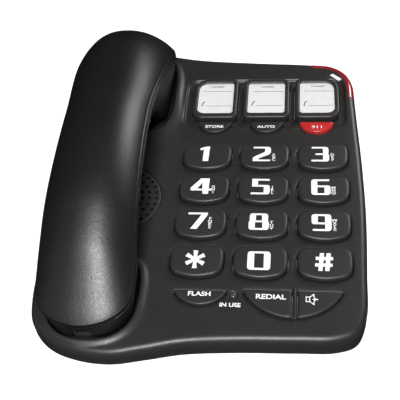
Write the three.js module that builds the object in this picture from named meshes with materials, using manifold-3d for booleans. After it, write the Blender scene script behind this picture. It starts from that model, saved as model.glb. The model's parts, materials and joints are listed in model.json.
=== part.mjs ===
// A corded desk telephone with big keys: a wedge-shaped base with a handset lying in a cradle on its left.
// Units are millimetres. +Z is up, +X is to the user's right and +Y points away from the user.
// The origin is the middle of the underside, on the surface that the feet stand on.
import * as THREE from "three";
import { mergeVertices } from "three/addons/utils/BufferGeometryUtils.js";
import Module from "manifold-3d";

const wasm = await Module();
wasm.setup();

// ---------- driving dimensions ----------
const CLEARANCE = 0.3; // between pieces that touch on the real telephone
const WALL = 2.4; // moulded shell thickness

const DECK_TILT = THREE.MathUtils.degToRad(9); // slope of the key panel towards the user
const DECK_ORIGIN = new THREE.Vector3(29.5, 0.5, 25.4); // middle of the dialling keys, on the panel's surface

const FOOT = { radius: 6.5, height: 1.6 };
const BOTTOM_Z = 1.9; // underside of the bottom cover
const SEAM_Z = 4; // parting line between the bottom cover and the top cover
const TONGUE_HEIGHT = 2.4; // rim of the bottom cover inside the top cover's wall
const EDGE_FILLET = 3.8; // rounding between the panel and the side walls
const OUTLINE_POINTS = 56;

const KEY_PITCH_X = 35;
const KEY_PITCH_Y = 25;
const KEY_RISE = 3; // key tops above the panel
const SMALL_KEY_RISE = 1.8;
const KEY_BEVEL = 1.1;
const KEY_GAP = 0.5; // between a key and the edge of its opening
const KEY_FLANGE = { reach: 0.9, top: -3.5, bottom: -4.8 }; // stops the key against the panel's underside
const KEY_MAT_TOP = -7; // leaves the keys room to travel
const KEY_MAT_THICKNESS = 0.9;
const CIRCUIT_THICKNESS = 1.6;

const CRADLE_X = -90; // middle line of the cradle, from the middle of the dialling keys
const HANDSET_SEAM_GAP = 0.4;
const HANDSET_START = -75.6; // tip of the mouthpiece end, along the panel
const HANDSET_END = 140.5; // tip of the earpiece end

// ---------- geometry helpers ----------
const mm = (x, y, z = 0) => new THREE.Vector3(x, y, z);
const { lerp, smoothstep } = THREE.MathUtils;

/** A closed solid through rings of equal point counts, listed upwards and counterclockwise seen from above. */
function loft(rings, looped = false) {
  const count = rings[0].length;
  const triangles = [];
  const last = looped ? rings.length : rings.length - 1;
  for (let i = 0; i < last; i++) {
    const low = rings[i];
    const high = rings[(i + 1) % rings.length];
    for (let j = 0; j < count; j++) {
      const k = (j + 1) % count;
      triangles.push(low[j], low[k], high[k], low[j], high[k], high[j]);
    }
  }
  if (!looped) {
    const cap = (ring) => {
      const flat = ring.map((p) => new THREE.Vector2(p.x, p.y));
      return THREE.ShapeUtils.triangulateShape(flat, []).map((face) => face.map((i) => ring[i]));
    };
    for (const [a, b, c] of cap(rings[0])) triangles.push(a, c, b);
    for (const [a, b, c] of cap(rings[rings.length - 1])) triangles.push(a, b, c);
  }
  return new THREE.BufferGeometry().setFromPoints(triangles);
}

/** A manifold-3d solid from a closed three.js geometry. */
function toSolid(geometry) {
  const bare = geometry.index ? geometry.toNonIndexed() : geometry.clone();
  bare.deleteAttribute("normal");
  bare.deleteAttribute("uv");
  const merged = mergeVertices(bare, 1e-4);
  return new wasm.Manifold(
    new wasm.Mesh({
      numProp: 3,
      vertProperties: new Float32Array(merged.attributes.position.array),
      triVerts: new Uint32Array(merged.index.array),
    }),
  );
}

/** The three.js geometry of a manifold-3d solid. */
function toGeometry(solid) {
  const { numProp, vertProperties, triVerts } = solid.getMesh();
  const points = [];
  for (const index of triVerts) {
    points.push(mm(...vertProperties.subarray(index * numProp, index * numProp + 3)));
  }
  const geometry = new THREE.BufferGeometry().setFromPoints(points);
  geometry.computeVertexNormals();
  return geometry;
}

/** The first geometry, joined with some and then cut by others. */
function carve(geometry, { add = [], cut = [] }) {
  let solid = toSolid(geometry);
  for (const other of add) solid = solid.add(toSolid(other));
  for (const other of cut) solid = solid.subtract(toSolid(other));
  return toGeometry(solid);
}

/** A closed outline moved inwards by a distance, or outwards when it is negative. */
function inset(outline, distance) {
  return outline.map((point, i) => {
    const before = outline[(i + outline.length - 1) % outline.length];
    const after = outline[(i + 1) % outline.length];
    const first = point.clone().sub(before).normalize();
    const second = after.clone().sub(point).normalize();
    const inward = mm(-first.y - second.y, first.x + second.x).normalize();
    const spread = Math.max(0.6, inward.dot(mm(-first.y, first.x)));
    return point.clone().addScaledVector(inward, distance / spread);
  });
}

const atHeight = (outline, z) => outline.map((p) => mm(p.x, p.y, z));

/** A prism whose outline changes with height: each level is [height, inset]. */
function pad(outline, levels) {
  return loft(levels.map(([z, step]) => atHeight(step ? inset(outline, step) : outline, z)));
}

const prism = (outline, bottom, top) => pad(outline, [[bottom, 0], [top, 0]]);

/** An upright cylinder between two heights. */
function cylinder(radius, bottom, top, sides = 20) {
  const geometry = new THREE.CylinderGeometry(radius, radius, top - bottom, sides);
  return geometry.rotateX(Math.PI / 2).translate(0, 0, (bottom + top) / 2);
}

/** A box from its lowest corner and its highest corner. */
function block(low, high) {
  const size = high.clone().sub(low);
  const middle = high.clone().add(low).multiplyScalar(0.5);
  return new THREE.BoxGeometry(size.x, size.y, size.z).translate(middle.x, middle.y, middle.z);
}

/** A turned solid about Z from [radius, height] pairs. */
function turned(profile, sides = 24) {
  const points = profile.map(([r, z]) => new THREE.Vector2(r, z));
  return new THREE.LatheGeometry(points, sides).rotateX(Math.PI / 2);
}

/** A smooth closed outline through a few points. */
function smoothOutline(points, samples) {
  const curve = new THREE.CatmullRomCurve3(points.map(([x, y]) => mm(x, y)), true);
  return curve.getSpacedPoints(samples).slice(0, samples);
}

/** A smooth outline from its right half, listed from the bottom to the top and mirrored. */
function mirroredOutline(rightHalf, samples) {
  const left = rightHalf.slice(1, -1).reverse().map(([x, y]) => [-x, y]);
  return smoothOutline([...rightHalf, ...left], samples);
}

/** A rectangle with its own radius at each corner, counterclockwise from the lower left. */
function cornered(left, bottom, right, top, radii, steps = 4) {
  const corners = [[left, bottom, 180], [right, bottom, 270], [right, top, 0], [left, top, 90]];
  return corners.flatMap(([x, y, start], i) => {
    const r = radii[i];
    const centre = mm(x === left ? x + r : x - r, y === bottom ? y + r : y - r);
    return Array.from({ length: steps + 1 }, (_, step) => {
      const angle = THREE.MathUtils.degToRad(start + (90 * step) / steps);
      return mm(centre.x + r * Math.cos(angle), centre.y + r * Math.sin(angle));
    });
  });
}

/** A superellipse outline, with one power towards the user and one away from the user. */
function oval(centreX, centreY, halfX, halfY, [nearPower, farPower], samples) {
  return Array.from({ length: samples }, (_, i) => {
    const angle = (2 * Math.PI * i) / samples;
    const power = Math.sin(angle) < 0 ? nearPower : farPower;
    const bend = (value) => Math.sign(value) * Math.abs(value) ** (2 / power);
    return mm(centreX + halfX * bend(Math.cos(angle)), centreY + halfY * bend(Math.sin(angle)));
  });
}

/** Part of a half-moon with its flat side up, between two places across its width. */
function halfMoon(width, depth, shoulder, from, to, steps) {
  const drop = depth - shoulder;
  const radius = (width ** 2 / 4 + drop ** 2) / (2 * drop);
  const arc = Array.from({ length: steps + 1 }, (_, i) => {
    const x = lerp(from, to, i / steps);
    return mm(x, radius - depth - Math.sqrt(radius ** 2 - x ** 2));
  });
  return [...arc, mm(to, 0), mm(from, 0)];
}

const movedOutline = (outline, x, y) => outline.map((p) => mm(p.x + x, p.y + y));

// ---------- scene helpers ----------
const FINISHES = {
  case_plastic: { color: 0x24241f, roughness: 0.55, metalness: 0 },
  handset_plastic: { color: 0x17171a, roughness: 0.5, metalness: 0 },
  key_plastic: { color: 0x2b2b29, roughness: 0.55, metalness: 0 },
  red_key: { color: 0xb8141c, roughness: 0.25, metalness: 0 },
  red_lens: { color: 0xc01420, roughness: 0.12, metalness: 0 },
  clear_lens: { color: 0xe9eef0, roughness: 0.08, metalness: 0 },
  paper: { color: 0xf4f4f1, roughness: 0.8, metalness: 0 },
  rubber: { color: 0x1c1c1c, roughness: 0.9, metalness: 0 },
  silicone: { color: 0x8a8f90, roughness: 0.7, metalness: 0 },
  circuit: { color: 0x2c5a34, roughness: 0.5, metalness: 0 },
  steel: { color: 0xa8aaad, roughness: 0.35, metalness: 1 },
  cone_paper: { color: 0x33322e, roughness: 0.9, metalness: 0 },
};

const phone = new THREE.Group();
const deck = new THREE.Group();
deck.position.copy(DECK_ORIGIN);
deck.rotation.x = DECK_TILT;
phone.add(deck);
deck.updateMatrixWorld(true);
const onDeck = (geometry) => geometry.clone().applyMatrix4(deck.matrixWorld);

/** The height of the panel's plane over a place on the ground plane. */
const deckHeight = (y) => DECK_ORIGIN.z + (y - DECK_ORIGIN.y) * Math.tan(DECK_TILT);

function addMesh(parent, name, geometry, finish, position = mm(0, 0, 0)) {
  const material = new THREE.MeshStandardMaterial(FINISHES[finish]);
  const mesh = new THREE.Mesh(geometry, material);
  mesh.name = name;
  mesh.position.copy(position);
  parent.add(mesh);
  return mesh;
}

// ---------- outlines ----------
const BASE_OUTLINE = smoothOutline(
  [
    [-95.4, -50], [-91.4, -64.5], [-80.6, -74.8], [-65, -80.5], [-47, -82], [-30, -78.8], [-9, -74.2],
    [20, -71.8], [50, -70.8], [70, -69.6], [80.5, -65], [85.5, -54], [87, -30], [88.4, 10],
    [87.8, 48], [86.4, 80], [85.6, 99], [84.6, 112.5], [80.3, 122.3], [71.8, 128.7], [58, 131],
    [20, 133.7], [-18, 137.4], [-42, 142.5], [-62, 146.5], [-80, 144], [-92, 133], [-97.2, 112],
    [-98, 70], [-97, 20],
  ],
  OUTLINE_POINTS,
);

const DIAL_KEY = mirroredOutline(
  [[0, -10.3], [6.5, -9.5], [11.8, -7.6], [14.2, -4.6], [15, 1.5], [14.3, 7.2], [11.3, 9.8], [5.5, 10.2], [0, 10.3]],
  16,
);

// ---------- base: top cover, with its keys' openings, cradle and sockets ----------
/** The outer form of the base down from the panel, set back all round by a distance. */
function baseForm(setBack, bottom, fillet) {
  const outline = setBack ? inset(BASE_OUTLINE, setBack) : BASE_OUTLINE;
  const wall = (step, drop) => inset(outline, step).map((p) => mm(p.x, p.y, deckHeight(p.y) - setBack - drop));
  const rounding = [0, 35, 65, 90].map((degrees) => {
    const angle = THREE.MathUtils.degToRad(degrees);
    return wall(fillet * (1 - Math.cos(angle)), fillet * (1 - Math.sin(angle)));
  });
  return loft([atHeight(outline, bottom), ...rounding]);
}

const POCKET_POINTS = 28;
/** A cradle pocket in deck space: each level is [height, centre y, half width, half length]. */
function pocket({ powers, levels }, grow) {
  return loft(levels.map(([z, y, halfX, halfY]) =>
    atHeight(oval(CRADLE_X, y, halfX + grow, halfY + grow, powers, POCKET_POINTS), z)));
}

const EAR_POCKET_FLOOR = -11;
const MOUTH_POCKET_FLOOR = -7.4;
const EAR_POCKET = {
  powers: [4, 2.8],
  levels: [
    [EAR_POCKET_FLOOR, 109, 25.6, 28.8],
    [-5, 109.2, 26.6, 29.4],
    [-4, 108, 27.4, 31],
    [0, 105.2, 29.4, 36.3],
    [6, 105.2, 30, 36.7],
  ],
};
const MOUTH_POCKET = {
  powers: [2.4, 4],
  levels: [
    [MOUTH_POCKET_FLOOR, -51, 23.6, 21.8],
    [-4, -50.9, 24.6, 23.3],
    [0, -50.7, 25.4, 24.7],
    [6, -50.7, 25.8, 25.1],
  ],
};
const LOOK_THROUGH = 0.05; // keeps a cutter's end clear of the face it leaves through

/** A low rounded rim around a cradle pocket's mouth. */
function pocketRim({ powers, levels }, height) {
  const [, y, halfX, halfY] = levels.find(([z]) => z === 0);
  const section = [[4.4, -1.2], [3.6, 0.3], [2.5, height], [1.1, height], [0.2, -1.2]];
  return loft(
    section.map(([out, z]) => atHeight(oval(CRADLE_X, y, halfX + out, halfY + out, powers, POCKET_POINTS), z)),
    true,
  );
}

/** The pocket with its moulded walls and floor. */
function pocketWalls({ powers, levels }) {
  const [[floor, ...rest], ...upper] = levels;
  return pocket({ powers, levels: [[floor - WALL, ...rest], ...upper] }, WALL);
}

const dialPlaces = [];
const DIAL_NAMES = ["1", "2", "3", "4", "5", "6", "7", "8", "9", "star", "0", "hash"];
DIAL_NAMES.forEach((label, i) => {
  const column = (i % 3) - 1;
  const row = 1.5 - Math.floor(i / 3);
  dialPlaces.push({ name: "dial_key_" + label, x: column * KEY_PITCH_X, y: row * KEY_PITCH_Y + 10.3 });
});

const MEMORY_RECESS = { left: -53.4, right: 50, bottom: 73.6, top: 116.6, radius: 8, depth: 1.6 };
const memoryFrames = [
  { name: "left", outline: cornered(-48, 79.6, -18.8, 114.8, [7, 4, 4, 9]) },
  { name: "middle", outline: cornered(-15.4, 79.8, 14.6, 114.4, [4, 4, 4, 4]) },
  { name: "right", outline: cornered(18, 79.6, 46.2, 114.6, [4, 7, 9, 4]) },
];
const MEMORY_KEY_TOP = 3;
const CARD_MARGIN = { side: 3, low: 4.2, high: 3.4 };

/** The half-moon under the dialling keys, split into two keys by a rib of the panel. */
const SPLIT = { x: 17.8, y: -43.7, width: 52.2, depth: 16.2, shoulder: 1.4, ribX: 1.2, rib: 2.2 };
const splitOutline = (from, to) => halfMoon(SPLIT.width, SPLIT.depth, SPLIT.shoulder, from, to, 8);
const MOON = { width: 20.8, depth: 8.8, shoulder: 1.2, y: 77 };
const FLASH = { x: -31.4, y: -44.9, width: 28.2, depth: 9, shoulder: 1.4 };
const moonOutline = halfMoon(MOON.width, MOON.depth, MOON.shoulder, -MOON.width / 2, MOON.width / 2, 10);
const flashOutline = halfMoon(FLASH.width, FLASH.depth, FLASH.shoulder, -FLASH.width / 2, FLASH.width / 2, 12);
const ribEdge = SPLIT.rib / 2 + KEY_GAP;
const redialOutline = splitOutline(-SPLIT.width / 2, SPLIT.ribX - ribEdge);
const speakerOutline = splitOutline(SPLIT.ribX + ribEdge, SPLIT.width / 2);
const smallKeys = [
  { name: "key_store", finish: "key_plastic", outline: moonOutline, x: -32.4, y: MOON.y },
  { name: "key_auto", finish: "key_plastic", outline: moonOutline, x: 0.3, y: MOON.y },
  { name: "key_emergency", finish: "red_key", outline: moonOutline, x: 31.5, y: MOON.y },
  { name: "key_flash", finish: "key_plastic", outline: flashOutline, x: FLASH.x, y: FLASH.y },
  { name: "key_redial", finish: "key_plastic", outline: redialOutline, x: SPLIT.x, y: SPLIT.y },
  { name: "key_speaker", finish: "key_plastic", outline: speakerOutline, x: SPLIT.x, y: SPLIT.y },
];

const GRILLE = { x: -83.2, y: 17.2, radius: 22.6 };
const LED = { x: -13.6, y: -47, radius: 2.1 };

const LINE_JACK = { x: 5, width: 12, height: 9.5, depth: 13, middle: 12.5 };
const CORD_JACK = { y: 4, width: 10, height: 8.5, depth: 12, middle: 11.5 };
const CORD_JACK_WALL_X = -96.5; // left wall's outer face at the socket
const SIDE_SWITCHES = [
  { name: "ringer_switch", x: 87.3, y: 52, slot: 12 },
  { name: "volume_slider", x: 86.1, y: 78, slot: 18 },
]; // x is just inside the right wall's outer face
const SWITCH = { middle: 15, height: 3.4, knob: 4.4, inner: 2.2, stand: 1.3 };

const SCREW_PLACES = [[-82, -8], [75, -54.5], [46, 121], [-22, 122]];
const SCREW = { head: 3, shank: 1.4, bore: 1.8, recess: 3.4, pad: 5.6, boss: 4.2 };
const HEAD_BOTTOM = BOTTOM_Z + 0.4;
const HEAD_TOP = BOTTOM_Z + 2.1;
const PAD_TOP = 6.5;

/** The red crescent over the rear right corner: the base's own edge inside a wedge, and not further in than a band. */
const RINGER = { band: 4.8, drop: 5.4, thickness: 3.2 };
function ringerWedge(grow) {
  const wedge = [mm(31.5 - grow, 118), mm(49, 100.5 - grow), mm(64, 97 - grow), mm(64, 142), mm(27 - grow, 142)];
  return onDeck(prism(wedge, -RINGER.drop - grow, 8));
}
function ringerLens(setBack, grow) {
  const core = prism(inset(BASE_OUTLINE, RINGER.band + grow), 20, 60);
  const under = baseForm(RINGER.thickness + grow, SEAM_Z, 1.6);
  return toSolid(baseForm(setBack, SEAM_Z, EDGE_FILLET))
    .intersect(toSolid(ringerWedge(grow)))
    .subtract(toSolid(core))
    .subtract(toSolid(under));
}

const keyOpening = (outline) => onDeck(prism(inset(outline, -KEY_GAP), -8, 8));
const memoryOpenings = memoryFrames.map(({ outline }) => keyOpening(outline));
const dialOpenings = dialPlaces.map(({ x, y }) => keyOpening(movedOutline(DIAL_KEY, x, y)));
const smallOpenings = smallKeys.map(({ outline, x, y }) => keyOpening(movedOutline(outline, x, y)));
const recessOutline = cornered(
  MEMORY_RECESS.left, MEMORY_RECESS.bottom, MEMORY_RECESS.right, MEMORY_RECESS.top,
  Array(4).fill(MEMORY_RECESS.radius), 5,
);

/** The room inside the top cover. */
function coverHollow() {
  let hollow = toSolid(baseForm(WALL, SEAM_Z - 1, 1.6));
  const keepOut = [
    onDeck(pocketWalls(EAR_POCKET)),
    onDeck(pocketWalls(MOUTH_POCKET)),
    onDeck(prism(inset(recessOutline, -WALL), -MEMORY_RECESS.depth - 1.6, 4)),
    ...SCREW_PLACES.map(([x, y]) => cylinder(SCREW.boss, PAD_TOP + CLEARANCE, 60, 14).translate(x, y, 0)),
  ];
  for (const solid of keepOut) hollow = hollow.subtract(toSolid(solid));
  return hollow;
}

/** The raised rib between the redial key and the loudspeaker key. */
function keyRib() {
  const x = SPLIT.x + SPLIT.ribX;
  const half = SPLIT.rib / 2 - 0.2;
  return block(mm(x - half, SPLIT.y - SPLIT.depth - 1, -1.5), mm(x + half, SPLIT.y + 1.6, SMALL_KEY_RISE + 0.5));
}

function topCover() {
  let cover = toSolid(baseForm(0, SEAM_Z + CLEARANCE, EDGE_FILLET));
  cover = cover.add(toSolid(onDeck(pocketRim(EAR_POCKET, 1.7))));
  cover = cover.add(toSolid(onDeck(pocketRim(MOUTH_POCKET, 1.3))));
  cover = cover.intersect(toSolid(prism(BASE_OUTLINE, 0, 80)));
  cover = cover.add(toSolid(onDeck(keyRib())));
  cover = cover.subtract(coverHollow());
  const cutters = [
    onDeck(pocket(EAR_POCKET, 0)),
    onDeck(pocket(MOUTH_POCKET, 0)),
    onDeck(prism(recessOutline, -MEMORY_RECESS.depth, 8)),
    ...dialOpenings,
    ...memoryOpenings,
    ...smallOpenings,
    onDeck(cylinder(GRILLE.radius + CLEARANCE, -6, 6, 32).translate(GRILLE.x, GRILLE.y, 0)),
    onDeck(cylinder(LED.radius + CLEARANCE, -8, 8, 12).translate(LED.x, LED.y, 0)),
    onDeck(block(hookLow(CLEARANCE), hookHigh(CLEARANCE))),
    block(
      mm(LINE_JACK.x - LINE_JACK.width / 2 - CLEARANCE, 120, LINE_JACK.middle - LINE_JACK.height / 2 - CLEARANCE),
      mm(LINE_JACK.x + LINE_JACK.width / 2 + CLEARANCE, 150, LINE_JACK.middle + LINE_JACK.height / 2 + CLEARANCE),
    ),
    block(
      mm(CORD_JACK_WALL_X - 10, CORD_JACK.y - CORD_JACK.width / 2 - CLEARANCE, CORD_JACK.middle - CORD_JACK.height / 2 - CLEARANCE),
      mm(CORD_JACK_WALL_X + 4, CORD_JACK.y + CORD_JACK.width / 2 + CLEARANCE, CORD_JACK.middle + CORD_JACK.height / 2 + CLEARANCE),
    ),
    ...SIDE_SWITCHES.map(({ y, slot }) =>
      block(
        mm(80, y - slot / 2, SWITCH.middle - SWITCH.height / 2),
        mm(95, y + slot / 2, SWITCH.middle + SWITCH.height / 2),
      )),
    ...SCREW_PLACES.map(([x, y]) => cylinder(SCREW.shank + 0.3, PAD_TOP, 16, 10).translate(x, y, 0)),
  ];
  for (const cutter of cutters) cover = cover.subtract(toSolid(cutter));
  return toGeometry(cover.subtract(ringerLens(-0.01, CLEARANCE)));
}

// ---------- hook switch plunger, through the floor of the ear pocket ----------
const HOOK = { x: CRADLE_X, y: 92, width: 12, length: 7, bottom: -15 };
function hookLow(grow) {
  return mm(HOOK.x - HOOK.width / 2 - grow, HOOK.y - HOOK.length / 2 - grow, HOOK.bottom - grow);
}
function hookHigh(grow) {
  return mm(HOOK.x + HOOK.width / 2 + grow, HOOK.y + HOOK.length / 2 + grow, EAR_POCKET_FLOOR + LOOK_THROUGH + grow);
}

addMesh(phone, "base_top_cover", topCover(), "case_plastic");
addMesh(phone, "ringer_light_lens", toGeometry(ringerLens(0, 0)), "red_lens");
addMesh(deck, "hook_plunger", block(hookLow(0), hookHigh(0)), "key_plastic");

// ---------- base: bottom cover, feet and screws ----------
function bottomCover() {
  const tongue = WALL + CLEARANCE;
  const levels = [
    [BOTTOM_Z, 1],
    [BOTTOM_Z + 0.8, 0.2],
    [SEAM_Z, 0.2],
    [SEAM_Z, tongue],
    [SEAM_Z + TONGUE_HEIGHT, tongue],
    [SEAM_Z + TONGUE_HEIGHT, tongue + 1.6],
    [SEAM_Z, tongue + 1.6],
  ];
  const pads = SCREW_PLACES.map(([x, y]) => cylinder(SCREW.pad, SEAM_Z - 0.5, PAD_TOP, 14).translate(x, y, 0));
  const bores = SCREW_PLACES.map(([x, y]) => cylinder(SCREW.bore, 0, PAD_TOP + 1, 12).translate(x, y, 0));
  const recesses = SCREW_PLACES.map(([x, y]) =>
    cylinder(SCREW.recess, 0, HEAD_TOP + CLEARANCE, 14).translate(x, y, 0));
  return carve(pad(BASE_OUTLINE, levels), { add: pads, cut: [...bores, ...recesses] });
}
addMesh(phone, "base_bottom_cover", bottomCover(), "case_plastic");

const FOOT_PLACES = { front_left: [-66, -62], front_right: [58, -50], rear_left: [-78, 122], rear_right: [58, 108] };
for (const [name, [x, y]] of Object.entries(FOOT_PLACES)) {
  addMesh(phone, "rubber_foot_" + name, cylinder(FOOT.radius, 0, FOOT.height, 18), "rubber", mm(x, y, 0));
}

function screw(headBottom, headTop, tip) {
  return turned([[0, headBottom], [SCREW.head, headBottom], [SCREW.head, headTop], [SCREW.shank, headTop],
    [SCREW.shank, tip], [0, tip + 1]], 12);
}
SCREW_PLACES.forEach(([x, y], i) => {
  addMesh(phone, "base_screw_" + (i + 1), screw(HEAD_BOTTOM, HEAD_TOP, 13), "steel", mm(x, y, 0));
});

// ---------- keys ----------
/** A key with a flange under the panel, or without one, and a bevelled top. */
function keyBody(outline, top, flangeReach = KEY_FLANGE.reach) {
  return pad(outline, [
    [KEY_FLANGE.bottom, -flangeReach],
    [KEY_FLANGE.top, -flangeReach],
    [KEY_FLANGE.top, 0],
    [top - KEY_BEVEL, 0],
    [top, KEY_BEVEL * 0.8],
  ]);
}
for (const { name, x, y } of dialPlaces) {
  addMesh(deck, name, keyBody(DIAL_KEY, KEY_RISE), "key_plastic", mm(x, y, 0));
}
for (const { name, finish, outline, x, y } of smallKeys) {
  addMesh(deck, name, keyBody(outline, SMALL_KEY_RISE, 0.6), finish, mm(x, y, 0));
}

const CARD_FLOOR = MEMORY_KEY_TOP - 2.2;
const CARD_THICKNESS = 0.4;
for (const { name, outline } of memoryFrames) {
  const xs = outline.map((p) => p.x);
  const ys = outline.map((p) => p.y);
  const window = cornered(
    Math.min(...xs) + CARD_MARGIN.side, Math.min(...ys) + CARD_MARGIN.low,
    Math.max(...xs) - CARD_MARGIN.side, Math.max(...ys) - CARD_MARGIN.high,
    { left: [5, 2, 2, 6], middle: [2, 2, 2, 2], right: [2, 5, 6, 2] }[name], 3,
  );
  const body = carve(keyBody(outline, MEMORY_KEY_TOP, 0.6), { cut: [prism(window, CARD_FLOOR, 8)] });
  const cardTop = CARD_FLOOR + CLEARANCE + CARD_THICKNESS;
  addMesh(deck, "memory_key_" + name, body, "key_plastic");
  addMesh(deck, "memory_card_" + name, prism(inset(window, 0.4), CARD_FLOOR + CLEARANCE, cardTop), "paper");
  addMesh(
    deck, "memory_lens_" + name,
    prism(inset(window, CLEARANCE), cardTop + CLEARANCE, MEMORY_KEY_TOP), "clear_lens",
  );
}

addMesh(deck, "in_use_light", turned([[0, -3], [LED.radius, -3], [LED.radius, 0], [LED.radius * 0.7, 1], [0, 1.4]], 12),
  "clear_lens", mm(LED.x, LED.y, 0));

// ---------- under the keys ----------
const KEYPAD_SHEET = cornered(-50.5, -59, 49.5, 112, [4, 20, 4, 4], 3);
const matBottom = KEY_MAT_TOP - KEY_MAT_THICKNESS;
addMesh(deck, "keypad_mat", prism(KEYPAD_SHEET, matBottom, KEY_MAT_TOP), "silicone");
addMesh(
  deck, "keypad_board",
  prism(KEYPAD_SHEET, matBottom - CLEARANCE - CIRCUIT_THICKNESS, matBottom - CLEARANCE), "circuit",
);
const MAIN_BOARD = { low: mm(-18, 24, 7), high: mm(62, 102, 7 + CIRCUIT_THICKNESS) };
addMesh(phone, "main_board", block(MAIN_BOARD.low, MAIN_BOARD.high), "circuit");

// ---------- loudspeaker behind its round grille ----------
function speakerGrille() {
  const disc = cylinder(GRILLE.radius, -1.9, -0.2, 32);
  const holes = [];
  const HOLE_RADIUS = 1;
  for (const [ring, count] of [[0, 1], [7, 6], [13, 10], [18.5, 14]]) {
    for (let i = 0; i < count; i++) {
      const angle = (2 * Math.PI * i) / count;
      holes.push(cylinder(HOLE_RADIUS, -4, 4, 6).translate(ring * Math.cos(angle), ring * Math.sin(angle), 0));
    }
  }
  return carve(disc, { cut: holes });
}
const grillePlace = mm(GRILLE.x, GRILLE.y, 0);
addMesh(deck, "speaker_grille", speakerGrille(), "case_plastic", grillePlace);
addMesh(
  deck, "loudspeaker_frame",
  turned([[0, -14], [9, -14], [9, -10], [14, -10], [20, -4.4], [20, -3], [18.4, -3], [18.4, -4.6], [13, -9], [0, -9]]),
  "steel", grillePlace,
);
addMesh(
  deck, "loudspeaker_cone",
  turned([[0, -8.6], [6, -8.6], [17.6, -4.2], [17.6, -3.4], [16.6, -3.4], [5.6, -7.2], [0, -7.2]]),
  "cone_paper", grillePlace,
);

// ---------- sockets and switches in the base's walls ----------
/** A socket whose mouth faces +Y: a box with a stepped hole for a modular plug. */
function socket(width, height, depth, wall = 1.2) {
  const body = block(mm(-width / 2, 0, -height / 2), mm(width / 2, depth, height / 2));
  const latch = 2.4;
  const hole = block(
    mm(-width / 2 + wall, wall + 0.8, -height / 2 + wall),
    mm(width / 2 - wall, depth + 1, height / 2 - wall - 0.6),
  );
  const keyway = block(mm(-latch, wall + 0.8, 0), mm(latch, depth + 1, height / 2 - wall + 0.4));
  return carve(body, { cut: [hole, keyway] });
}
const rearWall = (x) => 135.5 - (x + 18) * 0.098;
addMesh(
  phone, "line_jack", socket(LINE_JACK.width, LINE_JACK.height, LINE_JACK.depth), "key_plastic",
  mm(LINE_JACK.x, rearWall(LINE_JACK.x) - LINE_JACK.depth, LINE_JACK.middle),
);
const cordJack = addMesh(
  phone, "base_handset_jack", socket(CORD_JACK.width, CORD_JACK.height, CORD_JACK.depth), "key_plastic",
  mm(CORD_JACK_WALL_X + CORD_JACK.depth, CORD_JACK.y, CORD_JACK.middle),
);
cordJack.rotation.z = Math.PI / 2;

for (const { name, x, y } of SIDE_SWITCHES) {
  const half = SWITCH.knob / 2;
  const knobHeight = SWITCH.height / 2 - CLEARANCE;
  const carriage = block(
    mm(-WALL - SWITCH.inner, -half - 2.5, -knobHeight - 1.5),
    mm(-WALL - CLEARANCE, half + 2.5, knobHeight + 1.5),
  );
  const knob = carve(block(mm(-WALL - 1, -half, -knobHeight), mm(SWITCH.stand, half, knobHeight)), { add: [carriage] });
  addMesh(phone, name, knob, "key_plastic", mm(x, y, SWITCH.middle));
}

// ---------- handset ----------
const seamCurve = new THREE.CatmullRomCurve3(
  [[-76, 13.4], [-56, 15.6], [-38, 22.4], [-14, 32], [12, 37.2], [42, 38.6], [72, 35.8], [100, 27.4], [120, 17.4], [141, 9]]
    .map(([y, z]) => mm(0, y, z)),
  false, "centripetal",
);
const seamSamples = seamCurve.getPoints(120);
/** Height of the seam between the two handset shells at a place along it. */
function seamHeight(y) {
  const after = Math.max(1, seamSamples.findIndex((p) => p.y >= y));
  const from = seamSamples[after - 1];
  const to = seamSamples[after];
  return lerp(from.z, to.z, THREE.MathUtils.clamp((y - from.y) / (to.y - from.y), 0, 1));
}

const MOUTH_ROUND = { length: 22, power: 2.2 }; // how the outline narrows to each tip
const EAR_ROUND = { length: 24, power: 2.5 };
/** Half the handset's width at a place along it: narrow at the grip, wide at the ear. */
function halfWidth(y) {
  const mouthToGrip = lerp(26.4, 24.8, smoothstep(y, -50, 30));
  const full = lerp(mouthToGrip, 29.8, smoothstep(y, 45, 115));
  const round = (distance, { length, power }) => Math.sqrt(1 - (1 - Math.min(1, distance / length)) ** power);
  return full * round(y - HANDSET_START, MOUTH_ROUND) * round(HANDSET_END - y, EAR_ROUND);
}
const BACK_LAND = 2.6; // upright edge of the back shell all round, over the seam
/** How far the crown of the handset's back stands over that edge, along its middle. */
const CROWN_POWER = 2.2; // how square the crown is across the handset
const CROWN_FLATNESS = 0.85;
function crownHeight(y) {
  const full = lerp(12.6, 22, smoothstep(y, 60, 122));
  const mouthSlope = 1 - (1 - Math.min(1, (y - HANDSET_START) / 45)) ** 2;
  const earSlope = 1 - (1 - Math.min(1, (HANDSET_END - y) / 29)) ** 2.6;
  return full * mouthSlope * earSlope;
}
const MOUTH_FACE = MOUTH_POCKET_FLOOR + 0.4;
const EAR_FACE = EAR_POCKET_FLOOR + 0.4;
const GRIP_UNDERSIDE = 21.5;
/** Height of the handset's underside along its middle. */
function undersideHeight(y) {
  const mouthNeck = smoothstep(y, -40, -12);
  const earNeck = smoothstep(y, 62, 92);
  const grip = lerp(MOUTH_FACE, GRIP_UNDERSIDE, mouthNeck);
  const face = lerp(grip, EAR_FACE, earNeck);
  const tip = Math.max(0, 1 - (HANDSET_END - y) / 13, 1 - (y - HANDSET_START) / 9);
  return lerp(face, seamHeight(y), 0.85 * (1 - Math.sqrt(1 - Math.min(1, tip) ** 2)));
}

const ARC_STEPS = 14;
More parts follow.
